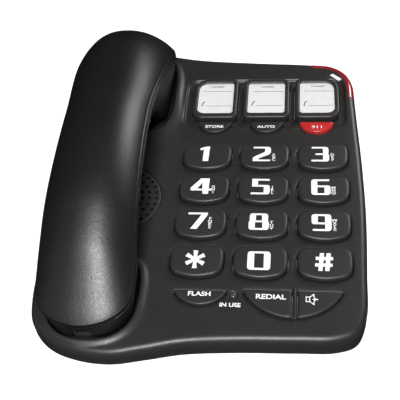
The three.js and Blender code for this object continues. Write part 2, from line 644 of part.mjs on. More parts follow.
/** A section of the back shell: upright edges and a crown between them. */
function backSection(y, wall, below) {
  const a = Math.max(0.6, halfWidth(y) - wall);
  const base = seamHeight(y);
  const crown = Array.from({ length: ARC_STEPS + 1 }, (_, i) => {
    const across = Math.cos((Math.PI * i) / ARC_STEPS);
    const rise = crownHeight(y) * (1 - Math.abs(across) ** CROWN_POWER) ** CROWN_FLATNESS;
    return mm(a * across, base + Math.max(0.2, BACK_LAND + rise - wall));
  });
  return [mm(-a, base - below), mm(a, base - below), ...crown];
}
/** A section of the face shell: walls that draw in towards a rounded underside. */
function faceSection(y, wall, above) {
  const a = Math.max(0.6, halfWidth(y) - wall);
  const top = seamHeight(y) - HANDSET_SEAM_GAP;
  const bottom = Math.min(undersideHeight(y) + wall, top - 0.4);
  const depth = top - bottom;
  const draft = Math.min(lerp(3.2, 5.2, smoothstep(y, 20, 90)), a * 0.16) * smoothstep(depth, 0, 26);
  const corner = Math.min(6, depth * 0.45);
  const half = Math.max(a - draft - corner, a * 0.3);
  const low = [
    [-half, 0], [half, 0], [half + corner * 0.7, corner * 0.25], [a - draft, corner],
  ].map(([x, z]) => mm(x, bottom + z));
  return [
    ...low, mm(a, top + above), mm(-a, top + above), mm(-(a - draft), bottom + corner),
    mm(-(half + corner * 0.7), bottom + corner * 0.25),
  ];
}
/** A solid along the handset through sections at a list of places. */
function alongHandset(places, section) {
  const rings = [...places].reverse().map((y) => section(y).map((p) => mm(p.x, p.y, -y)));
  return loft(rings).rotateX(Math.PI / 2);
}
/** Places along the handset, closer together towards its two tips. */
function stations(margin, count) {
  const from = HANDSET_START + margin;
  const to = HANDSET_END - margin;
  return Array.from({ length: count }, (_, i) => {
    const t = i / (count - 1);
    return lerp(from, to, lerp(t, 0.5 - 0.5 * Math.cos(Math.PI * t), 0.75));
  });
}

const handset = new THREE.Group();
handset.position.set(CRADLE_X, 0, 0);
deck.add(handset);

const backOuter = alongHandset(stations(0.15, 26), (y) => backSection(y, 0, 0));
const backInner = alongHandset(stations(WALL + 0.4, 18), (y) => backSection(y, WALL, 2));
addMesh(handset, "handset_back_shell", carve(backOuter, { cut: [backInner] }), "handset_plastic");

const MICROPHONE_Y = -49;
const RECEIVER_Y = 110;
function faceShell() {
  const outer = alongHandset(stations(0.15, 30), (y) => faceSection(y, 0, 0));
  const inner = alongHandset(stations(WALL + 0.4, 26), (y) => faceSection(y, WALL, 2));
  const holes = [];
  const hole = (x, y, bottom) => cylinder(1.2, bottom - 2, bottom + 4, 6).translate(x, y, 0);
  for (let i = 0; i < 7; i++) {
    const ring = i ? 5.5 : 0;
    const angle = (Math.PI * i) / 3;
    holes.push(hole(ring * Math.cos(angle), RECEIVER_Y + ring * Math.sin(angle), EAR_FACE));
  }
  for (let i = -1; i <= 1; i++) holes.push(hole(i * 4.5, MICROPHONE_Y, MOUTH_FACE));
  const plug = block(
    mm(-CORD_JACK.width / 2 - CLEARANCE, HANDSET_START - 5, HANDSET_JACK_Z - CORD_JACK.height / 2 - CLEARANCE),
    mm(CORD_JACK.width / 2 + CLEARANCE, HANDSET_START + 12, HANDSET_JACK_Z + CORD_JACK.height / 2 + CLEARANCE),
  );
  return carve(outer, { cut: [inner, plug, ...holes, ...handsetScrewHoles()] });
}
const HANDSET_JACK_Z = 5;
const HANDSET_SCREWS = [[0, 16], [0, 40]];
function handsetScrewHoles() {
  return HANDSET_SCREWS.map(([x, y]) => cylinder(3.2, 0, GRIP_UNDERSIDE + WALL + 2, 12).translate(x, y, 0));
}
addMesh(handset, "handset_face_shell", faceShell(), "handset_plastic");

addMesh(
  handset, "receiver_capsule",
  turned([[0, 0], [15, 0], [15, 5], [9, 5], [9, 9], [0, 9]]), "steel", mm(0, RECEIVER_Y, EAR_FACE + WALL + CLEARANCE),
);
addMesh(
  handset, "microphone_capsule", cylinder(5, 0, 5, 18), "steel",
  mm(0, MICROPHONE_Y, MOUTH_FACE + WALL + CLEARANCE),
);
addMesh(handset, "handset_weight", block(mm(-9, 50, GRIP_UNDERSIDE + 3.5), mm(9, 74, GRIP_UNDERSIDE + 11.5)), "steel");
const handsetJack = addMesh(
  handset, "handset_jack", socket(CORD_JACK.width, CORD_JACK.height, CORD_JACK.depth), "key_plastic",
  mm(0, HANDSET_START + 1.6 + CORD_JACK.depth, HANDSET_JACK_Z),
);
handsetJack.rotation.z = Math.PI;
HANDSET_SCREWS.forEach(([x, y], i) => {
  addMesh(handset, "handset_screw_" + (i + 1),
    turned([[0, 1], [2.8, 1], [2.8, 2.6], [1.3, 2.6], [1.3, 13], [0, 14]], 12), "steel", mm(x, y, GRIP_UNDERSIDE));
});

// ---------- origin at the middle of the underside ----------
phone.updateMatrixWorld(true);
const box = new THREE.Box3().setFromObject(phone, true);
const middle = box.getCenter(new THREE.Vector3());
phone.position.set(-middle.x, -middle.y, -box.min.z);

export default phone;
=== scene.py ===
import json
import math

import bmesh
import bpy
import numpy as np
from mathutils import Euler, Matrix, Vector
from mathutils.geometry import delaunay_2d_cdt


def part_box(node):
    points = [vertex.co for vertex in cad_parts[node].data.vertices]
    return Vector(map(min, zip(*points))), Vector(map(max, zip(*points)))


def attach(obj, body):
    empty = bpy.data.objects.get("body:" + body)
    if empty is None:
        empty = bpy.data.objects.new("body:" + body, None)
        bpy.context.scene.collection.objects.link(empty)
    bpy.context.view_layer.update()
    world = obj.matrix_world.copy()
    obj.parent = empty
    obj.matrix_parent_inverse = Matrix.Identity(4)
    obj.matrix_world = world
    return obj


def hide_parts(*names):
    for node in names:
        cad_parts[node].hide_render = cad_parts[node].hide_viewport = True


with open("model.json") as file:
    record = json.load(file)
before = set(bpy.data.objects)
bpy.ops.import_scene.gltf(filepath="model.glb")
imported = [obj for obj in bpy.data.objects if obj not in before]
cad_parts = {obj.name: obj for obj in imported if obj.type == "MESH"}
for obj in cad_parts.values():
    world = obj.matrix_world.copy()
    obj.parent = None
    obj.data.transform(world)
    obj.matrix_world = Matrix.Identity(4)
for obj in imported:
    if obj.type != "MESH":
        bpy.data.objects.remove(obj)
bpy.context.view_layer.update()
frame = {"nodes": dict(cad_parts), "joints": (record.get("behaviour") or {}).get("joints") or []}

# A corded desk telephone with big keys. Shapes are in millimetres, in one of two frames:
# "base", level, with z 0 on the table; and "deck", tilted, with z 0 on the key panel's surface.
MM = 0.001

# ---------- frames ----------
DECK_TILT = math.asin(-next(j for j in frame["joints"] if j["name"] == "handset_lift")["axis"][1])
DECK_ORIGIN = (29.5, 0.5, 25.4)
FRONT_LEFT_FOOT = (-66, -62, 0.8)  # the foot's middle, in the base frame
foot_low, foot_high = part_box("rubber_foot_front_left")
BASE_PLACE = (foot_low + foot_high) / 2 - Vector(FRONT_LEFT_FOOT) * MM
BASE_FRAME = Matrix.Translation(BASE_PLACE) @ Matrix.Scale(MM, 4)
DECK_FRAME = BASE_FRAME @ Matrix.Translation(DECK_ORIGIN) @ Matrix.Rotation(DECK_TILT, 4, "X")
SLOPE = math.tan(DECK_TILT)
COSINE = math.cos(DECK_TILT)
deck_height = lambda y: DECK_ORIGIN[2] + (y - DECK_ORIGIN[1]) * SLOPE


def deck_to_base(points):
    """Points of the deck frame, in the base frame."""
    c, s = COSINE, math.sin(DECK_TILT)
    x, y, z = np.asarray(points, float).T
    return np.column_stack([x, y * c - z * s, y * s + z * c]) + DECK_ORIGIN


# ---------- outlines: arrays of [x, y], counterclockwise ----------
def catmull_rom(points, closed=True, steps=24):
    """A smooth centripetal curve through points, as a dense list of points."""
    p = np.asarray(points, float)
    count = len(p)
    if not closed:
        p = np.vstack([2 * p[0] - p[1], p, 2 * p[-1] - p[-2]])
    made = []
    for i in range(count if closed else count - 1):
        q = [p[(i + k - 1) % count] for k in range(4)] if closed else [p[i + k] for k in range(4)]
        t = np.cumsum([0] + [np.linalg.norm(q[k + 1] - q[k]) ** 0.5 for k in range(3)])
        for s in np.linspace(t[1], t[2], steps, endpoint=False):
            a = [((t[k + 1] - s) * q[k] + (s - t[k]) * q[k + 1]) / (t[k + 1] - t[k]) for k in range(3)]
            b = [((t[k + 2] - s) * a[k] + (s - t[k]) * a[k + 1]) / (t[k + 2] - t[k]) for k in range(2)]
            made.append(((t[2] - s) * b[0] + (s - t[1]) * b[1]) / (t[2] - t[1]))
    if not closed:
        made.append(p[-2])
    return np.array(made)


def respaced(line, count):
    """A closed line as count points at even distances along it."""
    loop = np.vstack([line, line[:1]])
    along = np.concatenate([[0], np.cumsum(np.linalg.norm(np.diff(loop, axis=0), axis=1))])
    at = np.linspace(0, along[-1], count, endpoint=False)
    return np.stack([np.interp(at, along, loop[:, k]) for k in range(2)], 1)


def smooth_outline(points, count):
    return respaced(catmull_rom(points), count)


def mirrored_outline(right_half, count):
    left = [(-x, y) for x, y in reversed(right_half[1:-1])]
    return smooth_outline(right_half + left, count)


def inset(outline, distance):
    """A closed outline moved inwards by a distance, or outwards when it is negative."""
    before, after = np.roll(outline, 1, 0), np.roll(outline, -1, 0)
    unit = lambda v: v / np.maximum(np.linalg.norm(v, axis=1, keepdims=True), 1e-9)
    first, second = unit(outline - before), unit(after - outline)
    inward = unit(np.stack([-(first + second)[:, 1], (first + second)[:, 0]], 1))
    spread = np.maximum(0.6, inward[:, 0] * -first[:, 1] + inward[:, 1] * first[:, 0])
    return outline + inward * (distance / spread)[:, None]


def cornered(left, bottom, right, top, radii, steps=8):
    """A rectangle with its own radius at each corner, counterclockwise from the lower left."""
    made = []
    corners = [(left, bottom, 180), (right, bottom, 270), (right, top, 0), (left, top, 90)]
    for (x, y, start), r in zip(corners, radii):
        cx, cy = (x + r if x == left else x - r), (y + r if y == bottom else y - r)
        for step in range(steps + 1):
            angle = math.radians(start + 90 * step / steps)
            made.append((cx + r * math.cos(angle), cy + r * math.sin(angle)))
    return np.array(made)


def oval(cx, cy, half_x, half_y, powers, count=120):
    """A superellipse with one power towards the user and one away from the user."""
    angles = np.linspace(0, 2 * math.pi, count, endpoint=False)
    power = 2 / np.where(np.sin(angles) < 0, powers[0], powers[1])
    bend = lambda value: np.sign(value) * np.abs(value) ** power
    line = np.stack([cx + half_x * bend(np.cos(angles)), cy + half_y * bend(np.sin(angles))], 1)
    return respaced(line, count)


def half_moon(width, depth, shoulder, start, end, round_off=1.0):
    """Part of a half-moon with its flat side up, between two places across its width."""
    drop = depth - shoulder
    radius = (width**2 / 4 + drop**2) / (2 * drop)
    arc = [(x, radius - depth - math.sqrt(radius**2 - x * x)) for x in np.linspace(start, end, 28)]
    line = np.array(arc + [(end, -0.01), (end - 0.01, 0), (start + 0.01, 0), (start, -0.01)])
    return rounded(respaced(line, 160), round_off)


def rounded(outline, amount):
    """A closed outline with its corners worn round, by repeated averaging."""
    for _ in range(int(4 * amount)):
        outline = (np.roll(outline, 1, 0) + 2 * outline + np.roll(outline, -1, 0)) / 4
    return outline


def circle(cx, cy, radius, count=48):
    angles = np.linspace(0, 2 * math.pi, count, endpoint=False)
    return np.stack([cx + radius * np.cos(angles), cy + radius * np.sin(angles)], 1)


def is_inside(points, loop):
    """Which points lie inside a closed outline."""
    x, y = np.asarray(points, float).T
    odd = np.zeros(len(x), bool)
    for (ax, ay), (bx, by) in zip(loop, np.roll(loop, -1, 0)):
        crosses = (ay > y) != (by > y)
        if ay != by:
            odd ^= crosses & (x < ax + (y - ay) * (bx - ax) / (by - ay))
    return odd


def distance_inside(points, loop):
    """How far points are inside a closed outline, negative outside it."""
    points = np.asarray(points, float)
    a, b = loop, np.roll(loop, -1, 0)
    span = b - a
    made = np.empty(len(points))
    for i in range(0, len(points), 2000):
        p = points[i : i + 2000, None, :]
        share = np.clip(((p - a) * span).sum(2) / np.maximum((span**2).sum(1), 1e-12), 0, 1)
        made[i : i + 2000] = np.linalg.norm(p - a - share[..., None] * span, axis=2).min(1)
    return np.where(is_inside(points, loop), made, -made)


# ---------- surfaces: (points, faces) ----------
def triangulated(loops, points=()):
    """Triangles through closed loops and loose points, with the middle of each triangle."""
    verts, edges = [], []
    for loop in loops:
        start = len(verts)
        verts += [Vector(p) for p in loop]
        edges += [(start + i, start + (i + 1) % len(loop)) for i in range(len(loop))]
    verts += [Vector(p) for p in points]
    made, _, faces, *_ = delaunay_2d_cdt(verts, edges, [], 0, 1e-4)
    flat, faces = np.array(made), np.array(faces)
    return flat, faces, flat[faces].mean(1)


def fill(outer, holes=(), lines=(), points=()):
    """Triangles between an outline and its holes; lines are closed loops that mesh edges follow."""
    flat, faces, middle = triangulated([outer, *holes, *lines], points)
    keep = is_inside(middle, outer)
    for hole in holes:
        keep &= ~is_inside(middle, hole)
    return flat, faces[keep]


def union(outlines):
    """Triangles over everything that lies in any of several outlines."""
    flat, faces, middle = triangulated(outlines)
    return flat, faces[np.any([is_inside(middle, loop) for loop in outlines], axis=0)]


def at_height(outline, z):
    return np.column_stack([outline, np.broadcast_to(z, len(outline))])


def loft(rings, first_cap=False, last_cap=False):
    """Quads through rings of equal point counts, with flat caps where asked."""
    count = len(rings[0])
    faces = []
    for low in range(0, (len(rings) - 1) * count, count):
        for j in range(count):
            after = (j + 1) % count
            faces.append((low + j, low + after, low + count + after, low + count + j))
    if first_cap:
        faces.append(tuple(reversed(range(count))))
    if last_cap:
        faces.append(tuple(range((len(rings) - 1) * count, len(rings) * count)))
    return np.vstack(rings), faces


def profile_loft(outline, levels, first_cap=False, last_cap=True):
    """A loft whose outline changes with height: each level is (height, inset)."""
    rings = [at_height(inset(outline, step) if step else outline, z) for z, step in levels]
    return loft(rings, first_cap, last_cap)


def turned(profile, x=0, y=0, count=40):
    """A turned surface about an upright line, from (radius, height) pairs."""
    rings = [at_height(circle(x, y, max(r, 0.01), count), z) for r, z in profile]
    return loft(rings, last_cap=True)


def moved(surface, x=0, y=0, z=0):
    return surface[0] + np.array([x, y, z]), surface[1]


def joined(*surfaces):
    points, faces, start = [], [], 0
    for verts, polygons in surfaces:
        points.append(verts)
        faces += [tuple(int(i) + start for i in face) for face in polygons]
        start += len(verts)
    return np.vstack(points), faces


def piece(name, surface, frame_matrix, material, body, replaces=(), sharp=35):
    """A named mesh object from a surface, riding on a body."""
    points, faces = surface
    mesh = bpy.data.meshes.new(name)
    mesh.from_pydata([frame_matrix @ Vector(p) for p in points], [], [tuple(map(int, f)) for f in faces])
    work = bmesh.new()
    work.from_mesh(mesh)
    bmesh.ops.remove_doubles(work, verts=work.verts, dist=0.004 * MM)
    bmesh.ops.dissolve_degenerate(work, dist=0.001 * MM, edges=work.edges)
    bmesh.ops.recalc_face_normals(work, faces=work.faces)
    work.to_mesh(mesh)
    work.free()
    mesh.shade_smooth()
    mesh.set_sharp_from_angle(angle=math.radians(sharp))
    mesh.materials.append(material)
    obj = bpy.data.objects.new(name, mesh)
    bpy.context.scene.collection.objects.link(obj)
    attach(obj, body)
    if replaces:
        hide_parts(*replaces)
    return obj


# ---------- materials ----------
class Nodes:
    """A short way to build one material's node tree."""

    def __init__(self, name):
        self.material = bpy.data.materials.new(name)
        self.material.use_nodes = True
        self.tree = self.material.node_tree
        self.shader = self.tree.nodes["Principled BSDF"]
        self.place = self.add("ShaderNodeTexCoord").outputs["Object"]

    def add(self, kind, inputs=(), **settings):
        node = self.tree.nodes.new(kind)
        for key, value in settings.items():
            setattr(node, key, value)
        for key, value in dict(inputs).items():
            self.put(node.inputs[key], value)
        return node

    def put(self, socket, value):
        if isinstance(value, bpy.types.NodeSocket):
            self.tree.links.new(value, socket)
        else:
            socket.default_value = value

    def noise(self, scale, detail=3.0, rough=0.55, place=None):
        inputs = {"Vector": place or self.place, "Scale": scale, "Detail": detail, "Roughness": rough}
        return self.add("ShaderNodeTexNoise", inputs).outputs["Fac"]

    def span(self, value, low, high, start=0.3, end=0.7):
        """A value between two limits, mapped from start...end to low...high."""
        inputs = {"Value": value, "From Min": start, "From Max": end, "To Min": low, "To Max": high}
        return self.add("ShaderNodeMapRange", inputs).outputs["Result"]

    def mix(self, share, first, second):
        node = self.add("ShaderNodeMix", data_type="RGBA")
        self.put(node.inputs["Factor"], share)
        self.put(node.inputs["A"], first)
        self.put(node.inputs["B"], second)
        return node.outputs["Result"]

    def bump(self, height, distance, strength=1.0, normal=None):
        inputs = {"Height": height, "Distance": distance * MM, "Strength": strength}
        if normal:
            inputs["Normal"] = normal
        return self.add("ShaderNodeBump", inputs).outputs["Normal"]

    def edges(self, low=0.5, high=0.62):
        """Where the surface turns outwards, so that edges can look worn."""
        return self.span(self.add("ShaderNodeNewGeometry").outputs["Pointiness"], 0.0, 1.0, low, high)

    def finish(self, color, roughness, normal=None, **sockets):
        self.put(self.shader.inputs["Base Color"], color)
        self.put(self.shader.inputs["Roughness"], roughness)
        if normal:
            self.put(self.shader.inputs["Normal"], normal)
        for key, value in sockets.items():
            self.put(self.shader.inputs[key.replace("_", " ")], value)
        return self.material


def grey(value, warmth=0.0):
    return (value * (1 + warmth), value, value * (1 - warmth), 1)


def moulded_plastic(name, tone, rough, grain, grain_depth, warmth=0.0, worn=0.35):
    """Moulded plastic: a fine eroded grain, a faint mottle, and edges that handling has polished."""
    n = Nodes(name)
    mottle = n.noise(55, 4)
    fine = n.noise(grain, 2, 0.6)
    coarse = n.noise(grain * 0.37, 2)
    color = n.mix(n.span(mottle, 0, 1), grey(tone * 0.92, warmth), grey(tone * 1.08, warmth))
    edge = n.edges()
    wear = n.add("ShaderNodeMath", operation="MULTIPLY")
    n.put(wear.inputs[0], edge)
    n.put(wear.inputs[1], n.span(n.noise(160, 3), 0.0, worn))
    color = n.mix(wear.outputs[0], color, grey(tone * 2.2, warmth))
    roughness = n.span(n.noise(700, 3), rough - 0.03, rough + 0.03)
    normal = n.bump(fine, grain_depth, 1.0, n.bump(coarse, grain_depth * 1.4, 0.6))
    return n.finish(color, roughness, normal, IOR=1.46)


def glossy_plastic(name, color, deep, rough=0.14, **sockets):
    """Polished coloured plastic with faint flow marks and fingermarks."""
    n = Nodes(name)
    shade = n.mix(n.span(n.noise(70, 3), 0, 1), deep, color)
    roughness = n.span(n.noise(120, 4), rough * 0.7, rough * 1.5)
    normal = n.bump(n.noise(260, 2), 0.02, 0.5)
    return n.finish(shade, roughness, normal, **sockets)


def printed_ink(name, color):
    n = Nodes(name)
    shade = n.mix(n.span(n.noise(500, 3), 0, 1), tuple(c * 0.93 for c in color[:3]) + (1,), color)
    return n.finish(shade, n.span(n.noise(900, 2), 0.45, 0.6), n.bump(n.noise(2200, 2), 0.01))


def card_paper(name):
    n = Nodes(name)
    fibre = n.noise(420, 5, 0.7)
    shade = n.mix(n.span(fibre, 0, 1), (0.62, 0.62, 0.605, 1), (0.7, 0.695, 0.68, 1))
    return n.finish(shade, n.span(fibre, 0.62, 0.8), n.bump(n.noise(1500, 4), 0.02))


def soft_rubber(name, tone):
    n = Nodes(name)
    dust = n.span(n.noise(90, 5), 0, 1, 0.5, 0.75)
    shade = n.mix(dust, grey(tone), grey(tone * 2.1))
    return n.finish(shade, n.span(n.noise(200, 3), 0.72, 0.9), n.bump(n.noise(1300, 3), 0.05))


def drawn_metal(name, color):
    n = Nodes(name)
    mapping = n.add("ShaderNodeMapping", {"Vector": n.place})
    mapping.inputs["Scale"].default_value = (1, 1, 14)
    lines = n.noise(500, 3, 0.6, mapping.outputs["Vector"])
    shade = n.mix(n.span(n.noise(90, 4), 0, 1), tuple(c * 0.8 for c in color[:3]) + (1,), color)
    return n.finish(shade, n.span(lines, 0.25, 0.42), n.bump(lines, 0.01), Metallic=1.0)


def circuit_board(name):
    n = Nodes(name)
    cells = n.add("ShaderNodeTexVoronoi", {"Vector": n.place, "Scale": 220.0}, distance="MANHATTAN")
    tracks = n.span(cells.outputs["Distance"], 0, 1, 0.25, 0.35)
    shade = n.mix(tracks, (0.02, 0.12, 0.04, 1), (0.03, 0.2, 0.07, 1))
    return n.finish(shade, n.span(n.noise(300, 2), 0.35, 0.5), n.bump(tracks, 0.03))


CASE = moulded_plastic("case_plastic", 0.018, 0.4, 1500, 0.02, warmth=0.06)
HANDSET = moulded_plastic("handset_plastic", 0.008, 0.38, 1500, 0.05, warmth=0.02)
KEYS = moulded_plastic("key_plastic", 0.021, 0.42, 1900, 0.012, warmth=0.05)
GRILLE_BLACK = moulded_plastic("grille_plastic", 0.015, 0.5, 1500, 0.02, warmth=0.04)
RED_KEY = glossy_plastic("red_key", (0.50, 0.030, 0.028, 1), (0.36, 0.020, 0.02, 1), 0.2)
RED_LENS = glossy_plastic("red_lens", (0.30, 0.020, 0.024, 1), (0.18, 0.010, 0.014, 1), 0.16, Coat_Weight=0.5)
CLEAR = glossy_plastic("clear_lens", (0.97, 0.98, 1, 1), (0.9, 0.92, 0.95, 1), 0.06, Alpha=0.12)
LED_CLEAR = glossy_plastic("led_lens", (0.05, 0.05, 0.055, 1), (0.02, 0.02, 0.022, 1), 0.1)
WHITE_INK = printed_ink("white_ink", (0.86, 0.87, 0.86, 1))
GREY_INK = printed_ink("grey_ink", (0.12, 0.12, 0.13, 1))
PAPER = card_paper("card_paper")
RUBBER = soft_rubber("foot_rubber", 0.02)
SILICONE = soft_rubber("silicone_mat", 0.25)
STEEL = drawn_metal("steel", (0.62, 0.63, 0.64, 1))
BOARD = circuit_board("circuit_board")

# ---------- base: outlines shared by its covers ----------
EDGE_FILLET = 3.8
SEAM_Z = 4
WALL = 2.4
BASE_POINTS = [
    (-95.4, -50), (-91.4, -64.5), (-80.6, -74.8), (-65, -80.5), (-47, -82), (-30, -78.8), (-9, -74.2),
    (20, -71.8), (50, -70.8), (70, -69.6), (80.5, -65), (85.5, -54), (87, -30), (88.4, 10),
    (87.8, 48), (86.4, 80), (85.6, 99), (84.6, 112.5), (80.3, 122.3), (71.8, 128.7), (58, 131),
    (20, 133.7), (-18, 137.4), (-42, 142.5), (-62, 146.5), (-80, 144), (-92, 133), (-97.2, 112),
    (-98, 70), (-97, 20),
]
BASE_OUTLINE = smooth_outline(BASE_POINTS, 420)
on_panel = lambda x, y: (DECK_ORIGIN[0] + x, DECK_ORIGIN[1] + y * COSINE)
panel_loop = lambda outline: np.stack(on_panel(outline[:, 0], outline[:, 1]), 1)

CRADLE_X = -90
EAR_POCKET = {
    "powers": (4, 2.8), "rim": 1.7, "crest": 1.2, "side_reach": 4.6, "front_reach": 15,
    "levels": [(-11, 109, 25.6, 28.8), (-5, 109.2, 26.6, 29.4), (-4, 108, 27.4, 31), (0, 105.2, 29.4, 36.3)],
}
MOUTH_POCKET = {
    "powers": (2.4, 4), "rim": 1.3, "crest": 1.3, "side_reach": 4.2, "front_reach": 3.4,
    "levels": [(-7.4, -51, 23.6, 21.8), (-4, -50.9, 24.6, 23.3), (0, -50.7, 25.4, 24.7)],
}
POCKETS = [EAR_POCKET, MOUTH_POCKET]
POCKET_LIP = 0.9  # radius of the edge between a pocket and its rim


def pocket_ring(pocket, level, grow=0.0):
    _, y, half_x, half_y = level
    return oval(CRADLE_X, y, half_x + grow, half_y + grow, pocket["powers"], 150)


# ---------- keys ----------
KEY_PITCH = (35, 25)
KEYPAD_MIDDLE_Y = 10.3
KEY_RISE = 3
SMALL_KEY_RISE = 1.8
KEY_GAP = 0.5
DIAL_HALF = [
    (0, -10.3), (6.5, -9.5), (11.8, -7.6), (14.2, -4.6), (15, 1.5),
    (14.3, 7.2), (11.3, 9.8), (5.5, 10.2), (0, 10.3),
]
DIAL_OUTLINE = mirrored_outline(DIAL_HALF, 140)
DIAL_KEYS = [
    ("1", ""), ("2", "ABC"), ("3", "DEF"), ("4", "GHI"), ("5", "JKL"), ("6", "MNO"),
    ("7", "PQRS"), ("8", "TUV"), ("9", "WXYZ"), ("star", ""), ("0", ""), ("hash", ""),
]
dial_place = lambda i: ((i % 3 - 1) * KEY_PITCH[0], (1.5 - i // 3) * KEY_PITCH[1] + KEYPAD_MIDDLE_Y)

SPLIT = {"x": 17.8, "y": -43.7, "width": 52.2, "depth": 16.2, "shoulder": 1.4, "rib_x": 1.2, "rib": 2.2}
MOON = {"width": 20.8, "depth": 8.8, "shoulder": 1.2, "y": 77}
FLASH = {"x": -31.4, "y": -44.9, "width": 28.2, "depth": 9, "shoulder": 1.4}
rib_edge = SPLIT["rib"] / 2 + KEY_GAP


def split_outline(start, end):
    return half_moon(SPLIT["width"], SPLIT["depth"], SPLIT["shoulder"], start, end, 0.6)


def moon_outline(form):
    return half_moon(form["width"], form["depth"], form["shoulder"], -form["width"] / 2, form["width"] / 2)


SMALL_KEYS = [
    ("key_store", moon_outline(MOON), -32.4, MOON["y"]),
    ("key_auto", moon_outline(MOON), 0.3, MOON["y"]),
    ("key_emergency", moon_outline(MOON), 31.5, MOON["y"]),
    ("key_flash", moon_outline(FLASH), FLASH["x"], FLASH["y"]),
    ("key_redial", split_outline(-SPLIT["width"] / 2, SPLIT["rib_x"] - rib_edge), SPLIT["x"], SPLIT["y"]),
    ("key_speaker", split_outline(SPLIT["rib_x"] + rib_edge, SPLIT["width"] / 2), SPLIT["x"], SPLIT["y"]),
]
MEMORY_KEYS = {
    "left": ((-48, 79.6, -18.8, 114.8), (7, 4, 4, 9), (5, 2, 2, 6)),
    "middle": ((-15.4, 79.8, 14.6, 114.4), (4, 4, 4, 4), (2, 2, 2, 2)),
    "right": ((18, 79.6, 46.2, 114.6), (4, 7, 9, 4), (2, 5, 6, 2)),
}
MEMORY_RECESS = {"left": -53.4, "right": 50, "bottom": 73.6, "top": 116.6, "radius": 8, "depth": 1.6}
GRILLE = {"x": -83.2, "y": 17.2, "radius": 22.6}
LED = {"x": -13.6, "y": -47, "radius": 2.1}


def recess_depth(points):
    """The memory keys' shallow recess: how far the panel drops at points in the deck frame."""
    r = MEMORY_RECESS
    half = np.array([r["right"] - r["left"], r["top"] - r["bottom"]]) / 2
    middle = np.array([r["right"] + r["left"], r["top"] + r["bottom"]]) / 2
    q = np.abs(points - middle) - half + r["radius"]
    outside = np.linalg.norm(np.maximum(q, 0), axis=1) + np.minimum(q.max(1), 0) - r["radius"]
    share = np.clip((0.45 - outside) / 1.3, 0, 1)
    return r["depth"] * share * share * (3 - 2 * share)


def rim_height(pocket, points):
    """The raised rim around a cradle pocket: a crest at its lip, with its broadest slope towards the user."""
    edge = pocket_ring(pocket, pocket["levels"][-1])
    out = -distance_inside(points, edge)
    away = points - (CRADLE_X, pocket["levels"][-1][1])
    to_user = np.clip(-away[:, 1] / np.maximum(np.linalg.norm(away, axis=1), 1e-6), 0, 1)
    reach = pocket["side_reach"] + (pocket["front_reach"] - pocket["side_reach"]) * to_user**2
    fall = np.clip((out - pocket["crest"]) / reach, 0, 1)
    return pocket["rim"] * (1 - fall * fall * (3 - 2 * fall))


def cover_drop(points):
    """The top cover's height over the panel's plane at places in the base frame."""
    inside = distance_inside(points, BASE_OUTLINE)
    step = np.clip(EDGE_FILLET - inside, 0, EDGE_FILLET)
    height = np.sqrt(EDGE_FILLET**2 - step**2) - EDGE_FILLET
    deck_points = (points - DECK_ORIGIN[:2]) / (1, COSINE)
    near_edge = np.clip(inside / EDGE_FILLET, 0, 1)
    for pocket in POCKETS:
        height += rim_height(pocket, deck_points) * near_edge * (2 - near_edge)
    return height - recess_depth(deck_points)


def on_cover(points):
    """Places in the base frame's plan, put on the top cover's surface."""
    return np.column_stack([points, deck_height(points[:, 1]) + cover_drop(points)])


def key_openings():
    made = [DIAL_OUTLINE + dial_place(i) for i in range(12)]
    made += [outline + (x, y) for _, outline, x, y in SMALL_KEYS]
    made += [cornered(*box, radii) for box, radii, _ in MEMORY_KEYS.values()]
    return [inset(outline, -KEY_GAP) for outline in made]


RINGER_BAND = 4.8
RINGER_STAND = 0.12  # how far the lens stands proud of the cover
RINGER_WEDGE = np.array([(31.5, 118), (49, 100.5), (64, 97), (64, 142), (27, 142)])
LINE_JACK = {"x": 5, "width": 12, "height": 9.5, "middle": 12.5}
CORD_JACK = {"y": 4, "width": 10, "height": 8.5, "middle": 11.5}
SWITCH_SLOTS = [("ringer_switch", 52, 12), ("volume_slider", 78, 18)]
SWITCH_Z = 15
SLOT_HEIGHT = 3.4


WALL_LOOP = np.vstack([BASE_OUTLINE, BASE_OUTLINE[:1]])
WALL_RUN = np.concatenate([[0], np.cumsum(np.linalg.norm(np.diff(WALL_LOOP, axis=0), axis=1))])


def wall_place(along, z):
    """A point of the base's side wall, from the distance along its outline and the height."""
    x, y = (np.interp(along, WALL_RUN, WALL_LOOP[:, k]) for k in range(2))
    return np.column_stack([x, y, z])


def wall_along(x=None, y=None, side=1):
    """The distance along the outline where it passes a given x on the rear side, or a given y on one side."""
    count = 6000
    dense = respaced(BASE_OUTLINE, count)
    if x is not None:
        near = np.where(dense[:, 1] > 100, np.abs(dense[:, 0] - x), 1e9)
    else:
        near = np.where(dense[:, 0] * side > 60, np.abs(dense[:, 1] - y), 1e9)
    return WALL_RUN[-1] * int(np.argmin(near)) / count


def slot_outline(along, middle, width, height, radius=0.6):
    half_x, half_z = width / 2, height / 2
    return cornered(along - half_x, middle - half_z, along + half_x, middle + half_z, [radius] * 4, 4)


def socket_outline(along, jack):
    gap = 0.6
    return slot_outline(along, jack["middle"], jack["width"] + gap, jack["height"] + gap)


def wall_openings():
    made = [socket_outline(wall_along(x=LINE_JACK["x"]), LINE_JACK)]
    made.append(socket_outline(wall_along(y=CORD_JACK["y"], side=-1), CORD_JACK))
    for _, y, length in SWITCH_SLOTS:
        made.append(slot_outline(wall_along(y=y), SWITCH_Z, length, SLOT_HEIGHT, 0.8))
    return made


